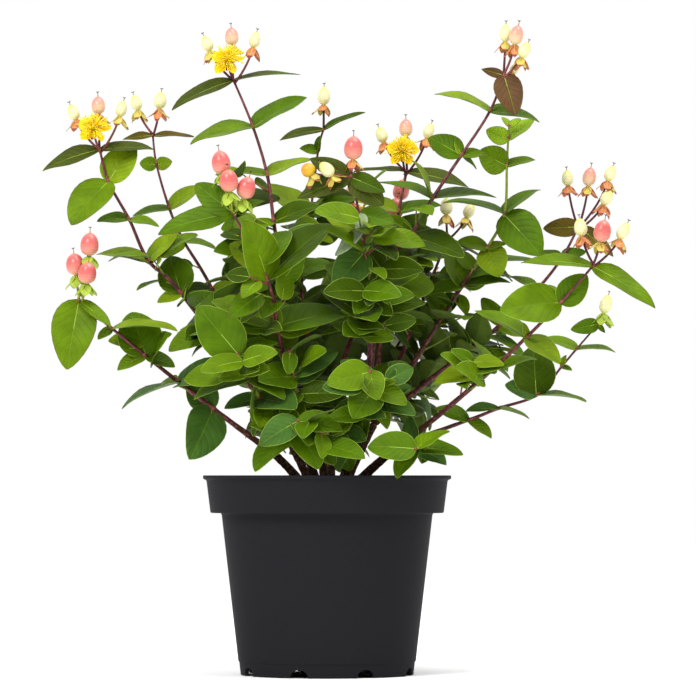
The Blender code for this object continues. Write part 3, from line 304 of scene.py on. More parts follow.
# The wood
CANE_RING = 2.2
CANE_SIDES = 12
CANE_ROOT = 0.7
CANE_RIDGE = 0.035
CANE_GRAIN = 6.0
GRAIN_STRETCH = 0.45
CANE_RELIEF = 0.05
WOODY_RELIEF = 0.12
WOODY_TO = 0.5
NODE_SWELL = 0.3
NODE_LENGTH = 1.8
NODE_RING = 1.3
RINGS_FROM = 0.25
CANE_LIGHT = 0.3
BARK_TO = (0.2, 0.3)  # how far up its skin is still bark, on a flowering cane and on a young one
BARK_SPRAY = 0.12
GREEN_FROM = 0.55
GREEN_SPRAY = 0.05
STEM_RING = 1.4
STEM_ENDS = 4
STEM_SIDES = 22
STEM_LOW = 0.5
STEM_STOUT = 1.04
STEM_FLARE = 1.6
STEM_FLARE_REACH = 5.0
STEM_TIP = 0.8
STRANDS = 2.2
STRAND_LENGTH = 26.0
STRAND_RELIEF = 0.2
FLAKE_SIZE = 2.4
FLAKE_RELIEF = 0.09
CROWN_ROWS = 9  # the crown of roots at the foot of the stems
CROWN_COLUMNS = 40
CROWN_SKIRT = 1.5
CROWN_HOLE = 0.3
CROWN_BULGE = 1.4
CROWN_SUNK = 1.0
CROWN_LIFT = 6.0
CROWN_RELIEF = 1.8
CROWN_GRAIN = 4.0
STALK_RADII = (1.0, 0.75)
STALK_RINGS = 9
STALK_SIDES = 8
STALK_BOW = 0.14
SPRIG_RINGS = 7
SPRIG_SIDES = 7
GREEN_SPRIGS = 0.6

# The berries
FRUIT_RINGS = 24
FRUIT_SIDES = 22
FRUIT_FOOT = 0.02
FRUIT_STEPS = 9
FRUIT_SPRAY = 0.12
FRUIT_SHAPES = (  # width along the height, and where it ends, of an egg and of a drop
    (((0, 0.12), (0.03, 0.42), (0.08, 0.64), (0.16, 0.83), (0.28, 0.96), (0.42, 1.0), (0.58, 0.97),
      (0.72, 0.86), (0.84, 0.69), (0.92, 0.5), (0.97, 0.32), (1, 0.14)), 0.94),
    (((0, 0.12), (0.04, 0.46), (0.13, 0.76), (0.27, 0.96), (0.42, 1.0), (0.58, 0.96), (0.72, 0.84),
      (0.85, 0.63), (0.94, 0.4), (1, 0.14)), 0.98),
)
STYLE_END = 1.12
STYLE_SUNK = 0.8
STYLE_RADII = (0.5, 0.34, 0.3)
STYLE_SIDES = 6
STIGMAS = 3
STIGMA_PATH = ((0.6, 0.4), (0.9, 0.9), (0.7, 1.3))  # ahead and aside
STIGMA_RADII = (0.3, 0.26, 0.26, 0.3)
STIGMA_SIDES = 5
SEPALS = 5
SEPAL_TURN = 0.2
SEPAL_OUT = (0.45, 0.85)
SEPAL_DOWN = (0.6, 0.95)
SEPAL_ASIDE = 1.2
SEPAL_UP = 0.5
SEPAL_FACE = 0.3
SEPAL_LENGTH = ((10.0, 12.5), (10.5, 13.5))  # of a plain sepal, and of one like a leaf
SEPAL_WIDTH = (6.2, 8.0)
SEPAL_ARCH = 0.15
SEPAL_FOLD = -0.2
BOWL_DEPTH = 0.6
BOWL_STEPS = (0.0, 0.8, 1.6)
BOWL_RADII = (0.8, 1.5, 1.7)
BOWL_SIDES = 8
LEAFY_CALYX = ("foliage_left_low", "foliage_front_left", "foliage_right_low")
# rim, midrib and crease take the pale margin finish, which carries a painted edge highlight
LEAFY_SEPAL = Tones("rim_pale", "sepal_leaf", "rim_pale", "rim_pale", "sepal_leaf", None, 1.0)
BRACT_REACH = 6.0
BRACT_TONES = {"right_tall": "leaf_purple", "right_outer": "leaf_bronze", "left_back": "leaf_bronze",
               "left_outer": "leaf_olive", "left_tall": "leaf_olive", "right_front": "leaf_fresh",
               "left_low": "leaf_fresh", "front_left": "leaf_mid", "right_low": "leaf_mid"}
ACID_REACH = 40.0
TIP_REACH = 16.0

# The flowers
PETALS = 5
PETAL_TURN = 0.1
PETAL_BASE = 0.6
PETAL_RISE = (-0.1, 0.15)
PETAL_SWIRL = (0.1, 0.4)
PETAL_LENGTH = (0.9, 1.0)
PETAL_WIDTH = 8.2
PETAL_LEAN = 1.25
PETAL_BLUNT = 0.55
PETAL_TWIST = 0.5
PETAL_WAVE = 0.05
PETAL_ARCH = 0.05
PETAL_TONES = Tones("petal", "petal", "petal_deep", "petal", "petal", None, 0.2)
CALYX_BELOW = 0.9
CALYX_OUT = 0.9
CALYX_SWIRL = 0.6
CALYX_BACK = 0.3
CALYX_SIZE = (7.5, 3.6)
CALYX_TONES = Tones("sepal_tip", "sepal_orange", "sepal_green", "sepal_orange", "sepal_green",
                    "sepal_tip", 0.5)
STAMENS = 230
STAMEN_SPREAD = 0.3
STAMEN_TILT = (12, 86)
STAMEN_LENGTH = (8.5, 14.0)
STAMEN_RISE = 1.0
STAMEN_FLAT = 0.8
STAMEN_START = (0.6, 1.2)  # ahead and aside
STAMEN_BOW = (1.8, 0.4)
STAMEN_RADII = (0.36, 0.32, 0.26)
STAMEN_POINTS = 5
STAMEN_SIDES = 4
GREY_ANTHERS = 0.1
ANTHER_ENDS = (0.5, 0.6)
ANTHER_RADII = (0.25, 0.42, 0.25)
ANTHER_SIDES = 5
OVARY_HEIGHTS = (0.2, 1.2, 2.6, 4.0, 5.2, 7.8)
OVARY_RADII = (1.6, 2.3, 2.4, 1.5, 0.5, 0.35)
OVARY_SIDES = 12

# The pot and the compost
POT_SEGMENTS = 160
CORNER_POINTS = 5
CORNER_MOST = 0.45
SHARP_ANGLE = 38
COMPOST_RINGS = 44
COMPOST_SIDES = 120
RINGS_DENSER = 0.9
LUMPS = ((2.0, 13.0), (1.3, 5.0), (0.8, 2.1))  # height and width
LUMPS_SUNK = 1.2
EDGE_LUMPS = 0.25
EDGE_RISE = 9.0
CRUMBS = 900
CRUMB_EDGE = 4.0
CRUMB_SIZE = (0.6, 1.9)
CRUMB_LONG = (1.0, 1.0, 2.6)
CRUMB_SLIM = 1.6
CRUMB_TILT = 0.25
CRUMB_SEAT = 0.25
CRUMB_STATIONS = (-1, -0.4, 0.5, 1)
CRUMB_ENDS = (0.3, 0.25)
CRUMB_WAIST = ((0.7, 1), (0.6, 1))
CRUMB_SIDES = 5

# The light
FLOOR_SIZE = 6000.0
FLOOR_SKIN = (0.9, 3.0, 0.002, 0.0, 0.0)
WORLD_LIGHT = 1.0
LIGHTS = {  # place, aim, width, watts
    "key": ((-1300, -2100, 2100), (0, 0, 260), 1100, 55),
    "top": ((700, -500, 2300), (0, 0, 260), 1300, 32),
}
REGION_EDGES = (-70, 60)

# The finishes: colours as the picture shows them
LEAF_LIGHT = 0.64
FRUIT_LIGHT = 0.72
CLOUD_DETAIL = 4.0
CLOUD_EDGES = (0.32, 0.68)
COAT_ROUGHNESS = 0.22
LEAF_SKIN = (0.45, 70.0, 0.18, 0.25, 0.09)  # roughness, grain, contrast, relief, specular
FRUIT_SKIN = (0.34, 220.0, 0.05, 0.03, 0.4, 0.3)  # and shine, where a finish has one
LEAF_TONES = {  # the upper side, and the light that comes through
    "leaf_fresh": ((120, 156, 12), (155, 195, 0)),
    "leaf_mid": ((98, 136, 6), (135, 176, 0)),
    "leaf_deep": ((76, 104, 2), (106, 142, 0)),
    "leaf_bluish": ((84, 126, 46), (110, 158, 34)),
    "leaf_yellow": ((146, 176, 20), (180, 205, 0)),
    "leaf_bronze": ((114, 96, 30), (138, 116, 20)),
    "leaf_purple": ((116, 84, 50), (140, 90, 40)),
    "leaf_olive": ((90, 104, 30), (116, 130, 18)),
    "leaf_acid": ((172, 214, 44), (205, 240, 15)),
    "leaf_under": ((122, 150, 60), (140, 175, 30)),
    # the lower side of one cane's leaves, painted paler than the plain lower side, for painted light where it
    # faces the viewer
    "leaf_pale": ((190, 212, 160), (180, 205, 110)),
}
FINISHES = {  # colour, roughness, grain, contrast, relief, specular, and shine where it has one
    "leaf_rib": ((140, 166, 58), 0.5, 200.0, 0.08, 0.05, 0.15),
    # painted shade: a darker green along the midrib's groove, beyond its pale foot
    "crease": ((92, 126, 22), 0.5, 200.0, 0.08, 0.05, 0.15),
    "rim_dark": ((78, 52, 26), 0.5, 200.0, 0.1, 0.05, 0.15),
    # a pale leaf margin, lightened further as a painted highlight where the edge catches light
    "rim_pale": ((150, 176, 66), 0.5, 200.0, 0.08, 0.05, 0.15),
    "bark_old": ((44, 32, 22), 0.85, 300.0, 0.35, 0.6, 0.1),
    "bark_young": ((70, 42, 32), 0.75, 320.0, 0.3, 0.4, 0.12),
    "bark_pale": ((92, 68, 48), 0.85, 320.0, 0.25, 0.4, 0.1),
    "cane_dark": ((80, 28, 36), 0.45, 300.0, 0.18, 0.15, 0.3),
    "cane_light": ((118, 60, 54), 0.45, 300.0, 0.18, 0.15, 0.3),
    "cane_green": ((120, 136, 44), 0.45, 300.0, 0.15, 0.12, 0.25),
    "node_ring": ((132, 74, 60), 0.6, 300.0, 0.12, 0.15, 0.2),
    "stalk_green": ((142, 150, 50), 0.45, 300.0, 0.12, 0.1, 0.25),
    "sepal_leaf": ((150, 172, 54), 0.5, 260.0, 0.12, 0.1, 0.25),
    "sepal_green": ((186, 172, 80), 0.5, 260.0, 0.12, 0.1, 0.25),
    "sepal_orange": ((188, 116, 70), 0.5, 260.0, 0.2, 0.1, 0.25),
    "sepal_tip": ((122, 50, 40), 0.5, 260.0, 0.14, 0.1, 0.25),
    "style": ((150, 110, 60), 0.5, 260.0, 0.1, 0.05, 0.25),
    "stigma": ((60, 34, 26), 0.6, 260.0, 0.1, 0.05, 0.2),
    "petal": ((246, 208, 6), 0.5, 240.0, 0.06, 0.12, 0.2),
    "petal_deep": ((246, 196, 6), 0.5, 240.0, 0.06, 0.12, 0.2),
    "filament": ((255, 224, 20), 0.5, 240.0, 0.05, 0.05, 0.2),
    "filament_pale": ((244, 226, 90), 0.5, 240.0, 0.05, 0.05, 0.2),
    "anther": ((252, 204, 12), 0.6, 240.0, 0.1, 0.05, 0.2),
    "anther_grey": ((130, 124, 76), 0.6, 240.0, 0.1, 0.05, 0.2),
    "ovary": ((216, 222, 110), 0.4, 240.0, 0.08, 0.05, 0.3, 0.2),
    "plastic": ((30, 30, 33), 0.6, 900.0, 0.06, 0.06, 0.03),
    "compost_dark": ((34, 24, 18), 0.95, 420.0, 0.4, 0.5, 0.1),
    "compost_brown": ((58, 38, 26), 0.95, 420.0, 0.35, 0.5, 0.1),
    "compost_pale": ((104, 76, 50), 0.9, 420.0, 0.25, 0.4, 0.1),
}
SPRAYS = {  # the finishes of a kind, and how often each is taken
    "small leaf": {"leaf_yellow": 0.3, "leaf_fresh": 0.5, "leaf_mid": 0.2},
    "low leaf": {"leaf_bluish": 0.5, "leaf_deep": 0.15, "leaf_mid": 0.25, "leaf_fresh": 0.1},
    # the outer leaves take lighter tones, painted light, and the inner ones darker tones, painted shade
    "lit outer leaf": {"leaf_fresh": 0.45, "leaf_mid": 0.2, "leaf_yellow": 0.3, "leaf_deep": 0.05},
    "shaded inner leaf": {"leaf_fresh": 0.16, "leaf_mid": 0.36, "leaf_deep": 0.36, "leaf_yellow": 0.05,
                   "leaf_bluish": 0.07},
    "bark": {"bark_old": 0.55, "bark_young": 0.33, "bark_pale": 0.12},
    "filament": {"filament": 0.65, "filament_pale": 0.35},
    "compost": {"compost_dark": 0.62, "compost_brown": 0.32, "compost_pale": 0.06},
    "crumb": {"compost_dark": 0.45, "compost_brown": 0.4, "compost_pale": 0.15},
}
FRUIT_TONES = {  # from the foot to the tip
    "ripe": ((250, 180, 154), (238, 140, 122), (228, 112, 102), (222, 98, 94), (234, 136, 118)),
    "peach": ((250, 226, 182), (250, 208, 168), (246, 182, 150), (242, 160, 138), (238, 150, 134)),
    "pale": ((244, 244, 160), (250, 244, 186), (250, 240, 186), (242, 240, 160), (224, 226, 112)),
    "bud": ((226, 200, 40), (242, 190, 14), (240, 176, 10), (238, 170, 12), (226, 160, 14)),
}

Stem = namedtuple("Stem", "foot fork girth")
Cane = namedtuple("Cane", "stem tip bow leafy step leaf head front ways", defaults=((),))

# The woody stems of the stool: foot on the compost, fork above it, radius at the foot
STEMS = {
    "left_front": Stem((-10, -6), (-42, -16, 170), 3.6),
    "left_back": Stem((-8, 6), (-34, 16, 188), 3.3),
    "middle_front": Stem((-2, -9), (-22, -26, 180), 3.1),
    "middle_back": Stem((-1, 4), (-6, 14, 196), 3.2),
    "right_middle": Stem((6, -7), (28, -22, 186), 3.5),
    "right_front": Stem((11, -3), (58, -24, 177), 3.8),
    "right_back": Stem((9, 6), (36, 20, 192), 3.6),
    "rear": Stem((2, 11), (4, 46, 182), 3.2),
}

# Each cane: its stem, its tip, how far its middle bows sideways (x, y), its leafy length, the spacing of
# its leaf pairs, the length of its leaves, what it bears, whether its leaves face the viewer, and the nodes
# that it passes below its tip, as (across, up, away), the first two where the eye sees them on the plane of
# the pot's axis
CANES = {
    "left_low": Cane("left_front", (-188, -56, 285), (-3, 0), 142, 33, 46, "ripe_low", True),
    "left_outer": Cane("left_back", (-175, 0, 404), (0, 0), 178, 33, 46, "star", True,
                       ((-168, 378, 0), (-152, 349, 2), (-137, 317, 4), (-112, 292, 6))),
    "left_back": Cane("left_back", (-137, 62, 420), (0, 0), 160, 29, 40, "pale_pair", True,
                      ((-131, 391, 58), (-121, 357, 52), (-110, 332, 47), (-88, 295, 38))),
    "left_tall": Cane("middle_front", (-73, 18, 459), (0, 0), 200, 37, 50, "star", True,
                      ((-57, 420, 12), (-46, 383, 6), (-41, 347, 0), (-35, 305, -8))),
    "front_left": Cane("middle_front", (-70, -118, 348), (0, 0), 128, 29, 52, "ripe_three", True,
                       ((-46, 303, -100), (-38, 267, -80))),
    "middle_back": Cane("middle_back", (-3, 80, 426), (0, 0), 170, 33, 46, "pale_one", True,
                        ((-7, 401, 77), (-13, 352, 66), (-20, 306, 54))),
    "front_middle": Cane("right_middle", (18, -90, 377), (9, -10), 132, 29, 46, "ripe_one", True),
    "right_inner": Cane("right_back", (62, 40, 390), (-4, 0), 140, 32, 48, "star", True),
    "right_deep": Cane("middle_back", (46, 74, 341), (2, 6), 90, 30, 46, "ripe_right", True),
    "right_back": Cane("right_back", (94, 66, 338), (0, 6), 90, 29, 46, "pale_right", True),
    "right_tall": Cane("right_middle", (135, -34, 458), (0, 0), 205, 37, 48, "pale_close", True,
                       ((125, 432, -34), (103, 398, -33), (81, 365, -32), (64, 336, -30), (43, 303, -27))),
    "young_shoot": Cane("right_back", (140, 2, 422), (0, 0), 165, 27, 38, "shoot", True,
                        ((139, 410, 2), (138, 390, 2), (136, 353, 4), (123, 327, 6), (104, 298, 9))),
    "young_side": Cane("right_back", (113, 36, 317), (2, 4), 80, 26, 42, "shoot", True),
    "right_outer": Cane("right_back", (196, 44, 347), (0, 0), 150, 35, 44, "pale_group", True,
                        ((180, 319, 40), (161, 295, 36), (132, 267, 31), (106, 247, 27))),
    "right_front": Cane("right_front", (200, -82, 310), (8, -6), 148, 37, 46, "mixed_three", True),
    "right_low": Cane("right_front", (208, -14, 269), (0, 0), 138, 31, 42, "pale_low", True,
                      ((191, 249, -15), (180, 236, -16), (161, 214, -17), (132, 204, -19), (109, 195, -21))),
    "inner_left": Cane("left_front", (-66, -98, 243), (5, -10), 92, 22, 44, "shoot", True),
    "inner_front": Cane("middle_front", (-28, -84, 246), (2, -10), 68, 19, 38, "shoot", True),
    "inner_right": Cane("right_middle", (32, -104, 230), (4, -8), 76, 19, 34, "shoot", True),
    "rosette_left": Cane("middle_front", (-21, -104, 193), (-2, 0), 54, 21, 34, "shoot", True),
    "rosette_middle": Cane("right_middle", (-4, -104, 183), (-2, 0), 48, 19, 32, "shoot", True),
    "rosette_right": Cane("right_front", (66, -104, 172), (4, 0), 56, 20, 38, "shoot", True),
    "rear_left": Cane("left_back", (-68, 106, 312), (-4, 8), 120, 31, 46, "pale_pair", False),
    "rear_mid_left": Cane("rear", (-44, 138, 296), (-4, 10), 110, 30, 46, "ripe_three", False),
    "rear_middle": Cane("rear", (18, 148, 346), (4, 10), 140, 31, 46, "star", False),
    "rear_right": Cane("rear", (72, 130, 286), (4, 10), 112, 30, 46, "pale_pair", False),
    "rear_far_right": Cane("right_back", (126, 108, 276), (4, 8), 120, 31, 46, "shoot", False),
    "rear_low_left": Cane("rear", (-74, 112, 214), (-4, 4), 70, 20, 42, "shoot", False),
    "rear_low_middle": Cane("rear", (0, 126, 206), (0, 6), 66, 19, 42, "shoot", False),
    "rear_low_right": Cane("rear", (74, 116, 222), (6, 4), 74, 20, 42, "shoot", False),
}

# The pairs that show most, from the tip down: of each leaf its bearing, counted from the right, and the
# length and the width that the eye sees. Some nodes have a third or a fourth leaf, of a side shoot. The
# pairs below them follow the rule.
SEEN_PAIRS = {
    "left_low": ((261, 52, 31, 320, 33, 9), (358, 50, 7, 215, 14, 7), (205, 24, 10, 340, 24, 10, 112, 38, 32),
                 (203, 47, 6, 22, 50, 12), (256, 42, 28, 130, 30, 22)),
    "left_outer": ((198, 47, 12, 3, 42, 8), (231, 44, 25, 58, 36, 23), (183, 25, 8, 347, 24, 7),
                   (171, 41, 10, 31, 43, 12), (108, 32, 26, 200, 20, 9)),
    "left_back": ((190, 24, 6, 357, 33, 5), (175, 14, 11, 12, 13, 10), (192, 30, 7, 36, 32, 11),
                  (215, 22, 12, 348, 26, 5), (188, 30, 10, 354, 28, 12)),
    "left_tall": ((206, 53, 11, 7, 52, 5), (194, 50, 13, 30, 48, 13), (178, 32, 7, 21, 36, 9),
                  (200, 28, 9, 20, 38, 13), (187, 60, 6, 15, 40, 16)),
    "front_left": ((142, 36, 19, 24, 26, 8, 194, 58, 17), (111, -45, 27, 40, 66, 22),
                   (160, 54, 21, 12, 52, 21)),
    "middle_back": ((195, 36, 7, 25, 36, 5), (170, 15, 8, 62, 16, 9), (150, 46, 16, 20, 38, 14),
                    (200, 38, 14, 10, 40, 16)),
    "front_middle": ((203, 44, 15, 318, 33, 19, 155, 35, 14, 342, 30, 14), (243, 37, -11, 345, 28, 14),
                     (215, 38, 26, 60, 30, 12), (150, 38, 18, 20, 40, 18)),
    "right_inner": ((181, 42, 4, 345, 50, 11), (165, 34, 10, 10, 34, 10)),
    "right_tall": ((285, 33, 20, 164, 18, 7), (159, 44, 7, 350, 41, 7), (150, 29, 18, 5, 21, 8),
                   (161, 43, 8, 4, 49, 9), (150, 30, 14, 338, 44, 17), (190, 30, 14, 20, 35, 18)),
    "young_shoot": ((125, 10, 5, 48, 12, 6), (155, 19, 13, 39, 27, 9), (141, 27, 22, 17, 23, 7),
                    (166, 48, 6, 39, 35, 8, 311, 43, 29), (292, 25, 22, 168, 24, 10, 345, 17, 8),
                    (3, 37, 8, 190, 28, 10)),
    "young_side": ((2, 50, 8, 190, 26, 9), (235, 30, 14, 300, 18, 9)),
    "right_deep": ((28, 40, 14, 200, 30, 12),),
    "right_outer": ((183, 28, 14, 317, 36, 12), (17, 20, 9, 165, 20, 8), (151, 24, 7, 335, 26, 12),
                    (120, 26, 14, 345, 26, 12)),
    "right_front": ((176, 54, 9, 327, 56, 15), (187, 46, 28, 46, 30, 20), (151, 44, 11, 323, 32, 15),
                    (192, 45, 15, 15, 36, 8), (318, 30, 19, 170, 28, 12)),
    "right_low": ((192, 22, 11, 310, 9, 4), (160, 28, 8, 0, 30, 4), (70, 10, 5, 350, 9, 4),
                  (160, 26, 14, 353, 38, 4, 90, 39, 31), (20, 28, 8, 185, 26, 6), (322, 22, 9, 163, 28, 10)),
    "inner_left": ((125, 48, 32, 19, 31, 10), (200, 46, 12, 330, 30, 12), (197, 28, 11, 20, 24, 10)),
    "inner_front": ((64, 32, 14, 268, 17, 11), (28, 38, 18, 200, 24, 12), (345, 30, 12, 170, 24, 12)),
    "inner_right": ((195, 33, 21, 285, 22, 17), (335, 29, 14, 140, 32, 16), (300, 24, 12, 70, 32, 16)),
    "rosette_left": ((212, 34, 20, 350, 34, 14), (125, 18, 12, 75, 18, 11), (222, 42, 18, 330, 24, 12)),
    "rosette_middle": ((272, 18, 11, 130, 14, 8), (245, 23, 11, 30, 20, 12)),
    "rosette_right": ((178, 36, 20, 29, 29, 9), (238, 28, 12, 350, 36, 12), (330, 28, 14, 100, 24, 12)),
}

# Each kind of head: its fruits as (across, up, away, diameter, length, colour), and where its flower sits
Head = namedtuple("Head", "fruits flower")
HEADS = {
    "ripe_three": Head(((-8, 36, 0, 14, 19, "ripe"), (-2, 22, -7, 14, 18, "ripe"),
                        (11, 17, -2, 14, 18, "ripe")), None),
    "ripe_low": Head(((9, 42, 3, 14, 19, "ripe"), (-2, 27, 4, 14, 18, "ripe"),
                      (8, 20, -7, 14, 18, "ripe")), None),
    "ripe_right": Head(((12, 36, 1, 13, 18, "ripe"), (7, 21, -7, 14, 18, "ripe"),
                        (-6, 19, 4, 12, 17, "ripe")), None),
    "star": Head(((-1, 33, 3, 10.5, 15, "peach"), (-20, 27, 0, 9, 13, "pale"),
                  (17, 30, 1, 8.5, 13, "pale")),
                 (-4, 13, -9)),
    "pale_pair": Head(((-13, 24, 0, 9, 13, "pale"), (6, 26, 2, 10, 14, "pale")), None),
    "pale_right": Head(((-1, 25, 0, 10, 14, "pale"), (17, 22, 2, 9, 13, "pale")), None),
    "pale_one": Head(((0, 25, 0, 10, 15, "pale"),), None),
    "pale_low": Head(((5, 14, 0, 9.5, 15, "pale"),), None),
    "ripe_one": Head(((2, 20, 0, 14, 19, "ripe"), (-18, 3, -8, 10, 14, "pale"),
                      (-32, 3, -6, 11, 11, "bud")), None),
    "pale_group": Head(((8, 38, 2, 10.5, 16, "peach"), (-9, 37, 5, 9, 13, "pale"),
                        (24, 40, -2, 9, 13, "pale"), (21, 21, -7, 9.5, 13, "pale")), None),
    "pale_close": Head(((9, 29, -3, 10.5, 16, "peach"), (1, 31, 5, 9, 14, "pale"),
                        (15, 17, -5, 9.5, 13, "pale"), (8, 4, 7, 7, 10, "pale")), None),
    "mixed_three": Head(((-10, 28, 3, 10, 14, "pale"), (6, 25, -6, 13, 18, "ripe"),
                         (22, 25, 2, 9, 14, "pale")), None),
    "shoot": Head((), None),
}
PETAL_RADIUS = 13.5
STAMEN_RADIUS = 9.5
BALL_CLEAR = 0.62  # how much room a berry needs, as a share of its width

# What the growth rule makes
Twig = namedtuple("Twig", "points radii")
Leaf = namedtuple("Leaf", "base along face length width")
Fruit = namedtuple("Fruit", "base axis width length colour")
Flower = namedtuple("Flower", "centre axis")
Mass = namedtuple("Mass", "name stem twigs leaves fruits flowers sprigs")


def behind(across, up, away):
    """The point at a depth that the eye sees at a place on the plane of the pot's axis."""
    scale = (EYE_AWAY + away) / EYE_AWAY
    return Vector((EYE_ACROSS + (across - EYE_ACROSS) * scale, away, EYE_HEIGHT + (up - EYE_HEIGHT) * scale))


def bend(start, middle, end, t):
    """The point at a share t of the curve from start to end that leans towards the middle."""
    return (1 - t) ** 2 * start + 2 * t * (1 - t) * middle + t * t * end


def spoke(side, other, angle):
    """The direction at an angle from the first of two that stand square to each other."""
    return math.cos(angle) * side + math.sin(angle) * other


def aside(heading, angle):
    """A direction square to a heading, at an angle round it."""
    return Matrix.Rotation(angle, 3, heading) @ heading.orthogonal().normalized()


def cane_route(cane):
    """Points closely along a cane, from its fork to its tip, with the distance of each from the fork."""
    start = Vector(STEMS[cane.stem].fork)
    end = Vector(cane.tip)
    points = []
    if cane.ways:
        knots = [start] + [behind(*way) for way in reversed(cane.ways)] + [end]
        knots = [2 * knots[0] - knots[1]] + knots + [2 * knots[-1] - knots[-2]]
        for a, b, c, d in zip(knots, knots[1:], knots[2:], knots[3:]):
            for i in range(KNOT_POINTS):
                t = i / KNOT_POINTS
                turn = 2 * a - 5 * b + 4 * c - d + t * (3 * b - a - 3 * c + d)
                points.append(b + 0.5 * t * (c - a + t * turn))
        points.append(end)
    else:
        middle = (start + end) / 2 + 2 * Vector((cane.bow[0], cane.bow[1], 0))
        points = [bend(start, middle, end, i / BOW_POINTS) for i in range(BOW_POINTS + 1)]
    lengths = [0.0]
    for a, b in zip(points, points[1:]):
        lengths.append(lengths[-1] + (b - a).length)
    return points, lengths


def place_on(route, distance):
    """The point and the direction at a distance from the start of a route."""
    points, lengths = route
    distance = min(max(distance, 0.0), lengths[-1])
    for i in range(1, len(points)):
        if distance <= lengths[i]:
            break
    share = (distance - lengths[i - 1]) / (lengths[i] - lengths[i - 1])
    step = points[i] - points[i - 1]
    return points[i - 1] + share * step, step.normalized()


def stretch(route, start, end, radius_at, step):
    """A twig that follows a route from one distance to another."""
    count = max(1, round((end - start) / step))
    distances = [start + (end - start) * i / count for i in range(count + 1)]
    points = [place_on(route, d)[0] for d in distances]
    return Twig(points, [radius_at(d) for d in distances])


def cane_radius(name, total):
    """The radius of a cane at each distance from its fork: stout at the fork, slim at the tip."""
    def at(distance):
        share = distance / total
        return SLIM.get(name, 1.0) * (BOUGH_RADIUS + (TIP_RADIUS - BOUGH_RADIUS) * share ** TAPER_POWER)
    return at


def leaf_half_width(u):
    """Half the width of a leaf at a share u of its length, as a share of its width."""
    return 0.5 * math.sin(math.pi * u ** SOLID_LEAN) ** SOLID_BLUNT


def leaf_frame(leaf):
    along = leaf.along.normalized()
    face = (leaf.face - leaf.face.dot(along) * along).normalized()
    return along, face.cross(along), face


def leaf_place(leaf, u, across, lift=0.0):
    """A point of the leaf: u along the midrib, across from it and lifted from its face, in millimetres."""
    along, side, face = leaf_frame(leaf)
    drop = LEAF_ARCH * leaf.length * u * u
    rise = LEAF_FOLD * abs(across)
    return leaf.base + along * (leaf.length * u) + side * across + face * (rise - drop + lift)


def leaf_ring(leaf, count):
    """The outline of the plain solid leaf, as an even ring from its root round by its tip."""
    ring = []
    for i in range(count):
        angle = 2 * math.pi * i / count
        u = (1 - math.cos(angle)) / 2
        half = LEAF_CORNER * leaf.width * leaf_half_width(min(max(u, 0.0), 1.0))
        ring.append(leaf_place(leaf, u, math.copysign(half, math.sin(angle)) if 0 < u < 1 else 0.0))
    return ring


class Ground:
    """What has been placed so far, so that nothing new touches it.

    A leaf is there twice: whole for the leaves of other masses, and without its root for those of its own.
    """

    def __init__(self):
        self.owners = []
        self.sides = []
        self.trees = []
        self.lows = np.empty((MOST_PIECES, 3))
        self.highs = np.empty((MOST_PIECES, 3))

    def add(self, owner, points, faces, side=None):
        self.lows[len(self.owners)], self.highs[len(self.owners)] = bounds_of(points)
        self.owners.append(owner)
        self.sides.append(side)
        self.trees.append(BVHTree.FromPolygons(points, faces))

    def touches(self, points, faces, skip=None, only=None):
        low, high = bounds_of(points)
        count = len(self.owners)
        apart = (self.lows[:count] > high) | (self.highs[:count] < low)
        tree = None
        for i in np.flatnonzero(~apart.any(axis=1)):
            owner, side = self.owners[i], self.sides[i]
            if side == OTHERS if only else (side == OWN or owner == skip):
                continue
            if only and owner != only:
                continue
            tree = tree or BVHTree.FromPolygons(points, faces)
            if tree.overlap(self.trees[i]):
                return True
        return False


def bounds_of(points):
    low = [min(p[i] for p in points) for i in range(3)]
    high = [max(p[i] for p in points) for i in range(3)]
    return low, high


def leaf_skin(leaf, margin, start=0.0):
    """Triangles a little proud of a leaf, from a share of its length on, for the test of what it touches."""
    points = []
    faces = []
    stations = [start] + [u for u in LEAF_STATIONS if u > start + STATION_APART]
    for u in stations:
        inside = min(max(u, SKIN_ENDS[0]), SKIN_ENDS[1])
        half = LEAF_CORNER * leaf.width * leaf_half_width(inside) + margin
        for across in (-half, 0.0, half):
            for lift in (-margin - LEAF_THICKNESS / 2, margin + LEAF_THICKNESS / 2):
                points.append(leaf_place(leaf, u, across, lift if across == 0.0 else 0.5 * lift))
    for i in range(len(stations) - 1):
        for column in range(2):
            for layer in range(2):
                a = 6 * i + 2 * column + layer
                faces.append((a, a + 2, a + 8))
                faces.append((a, a + 8, a + 6))
    return points, faces


def twig_skin(twig, margin):
    """A prism a little proud of a twig."""
    points = []
    faces = []
    for i, (point, radius) in enumerate(zip(twig.points, twig.radii)):
        ahead = twig.points[min(i + 1, len(twig.points) - 1)] - twig.points[max(i - 1, 0)]
        side = ahead.orthogonal().normalized()
        other = ahead.cross(side).normalized()
        for k in range(4):
            points.append(point + (radius + margin) * TWIG_CORNER * spoke(side, other, math.pi * k / 2))
        if i:
            for k in range(4):
                a = 4 * (i - 1) + k
                b = 4 * (i - 1) + (k + 1) % 4
                faces.append((a, b, b + 4))
                faces.append((a, b + 4, a + 4))
    return points, faces


def ball_skin(centre, radius):
    points = [centre + Vector(d) * radius for d in
              ((1, 0, 0), (-1, 0, 0), (0, 1, 0), (0, -1, 0), (0, 0, 1), (0, 0, -1))]
    faces = [(a, b, c) for a in (0, 1) for b in (2, 3) for c in (4, 5)]
    return points, faces


def in_pot(point):
    """Whether a point is in the pot, or too near its rim."""
    radius = math.hypot(point.x, point.y)
    return point.z < POT_HEIGHT + RIM_GUARD and radius < LIP_RADIUS + RIM_GUARD


def near_route(route, point):
    return min((p - point).length for p in route[0][::4])


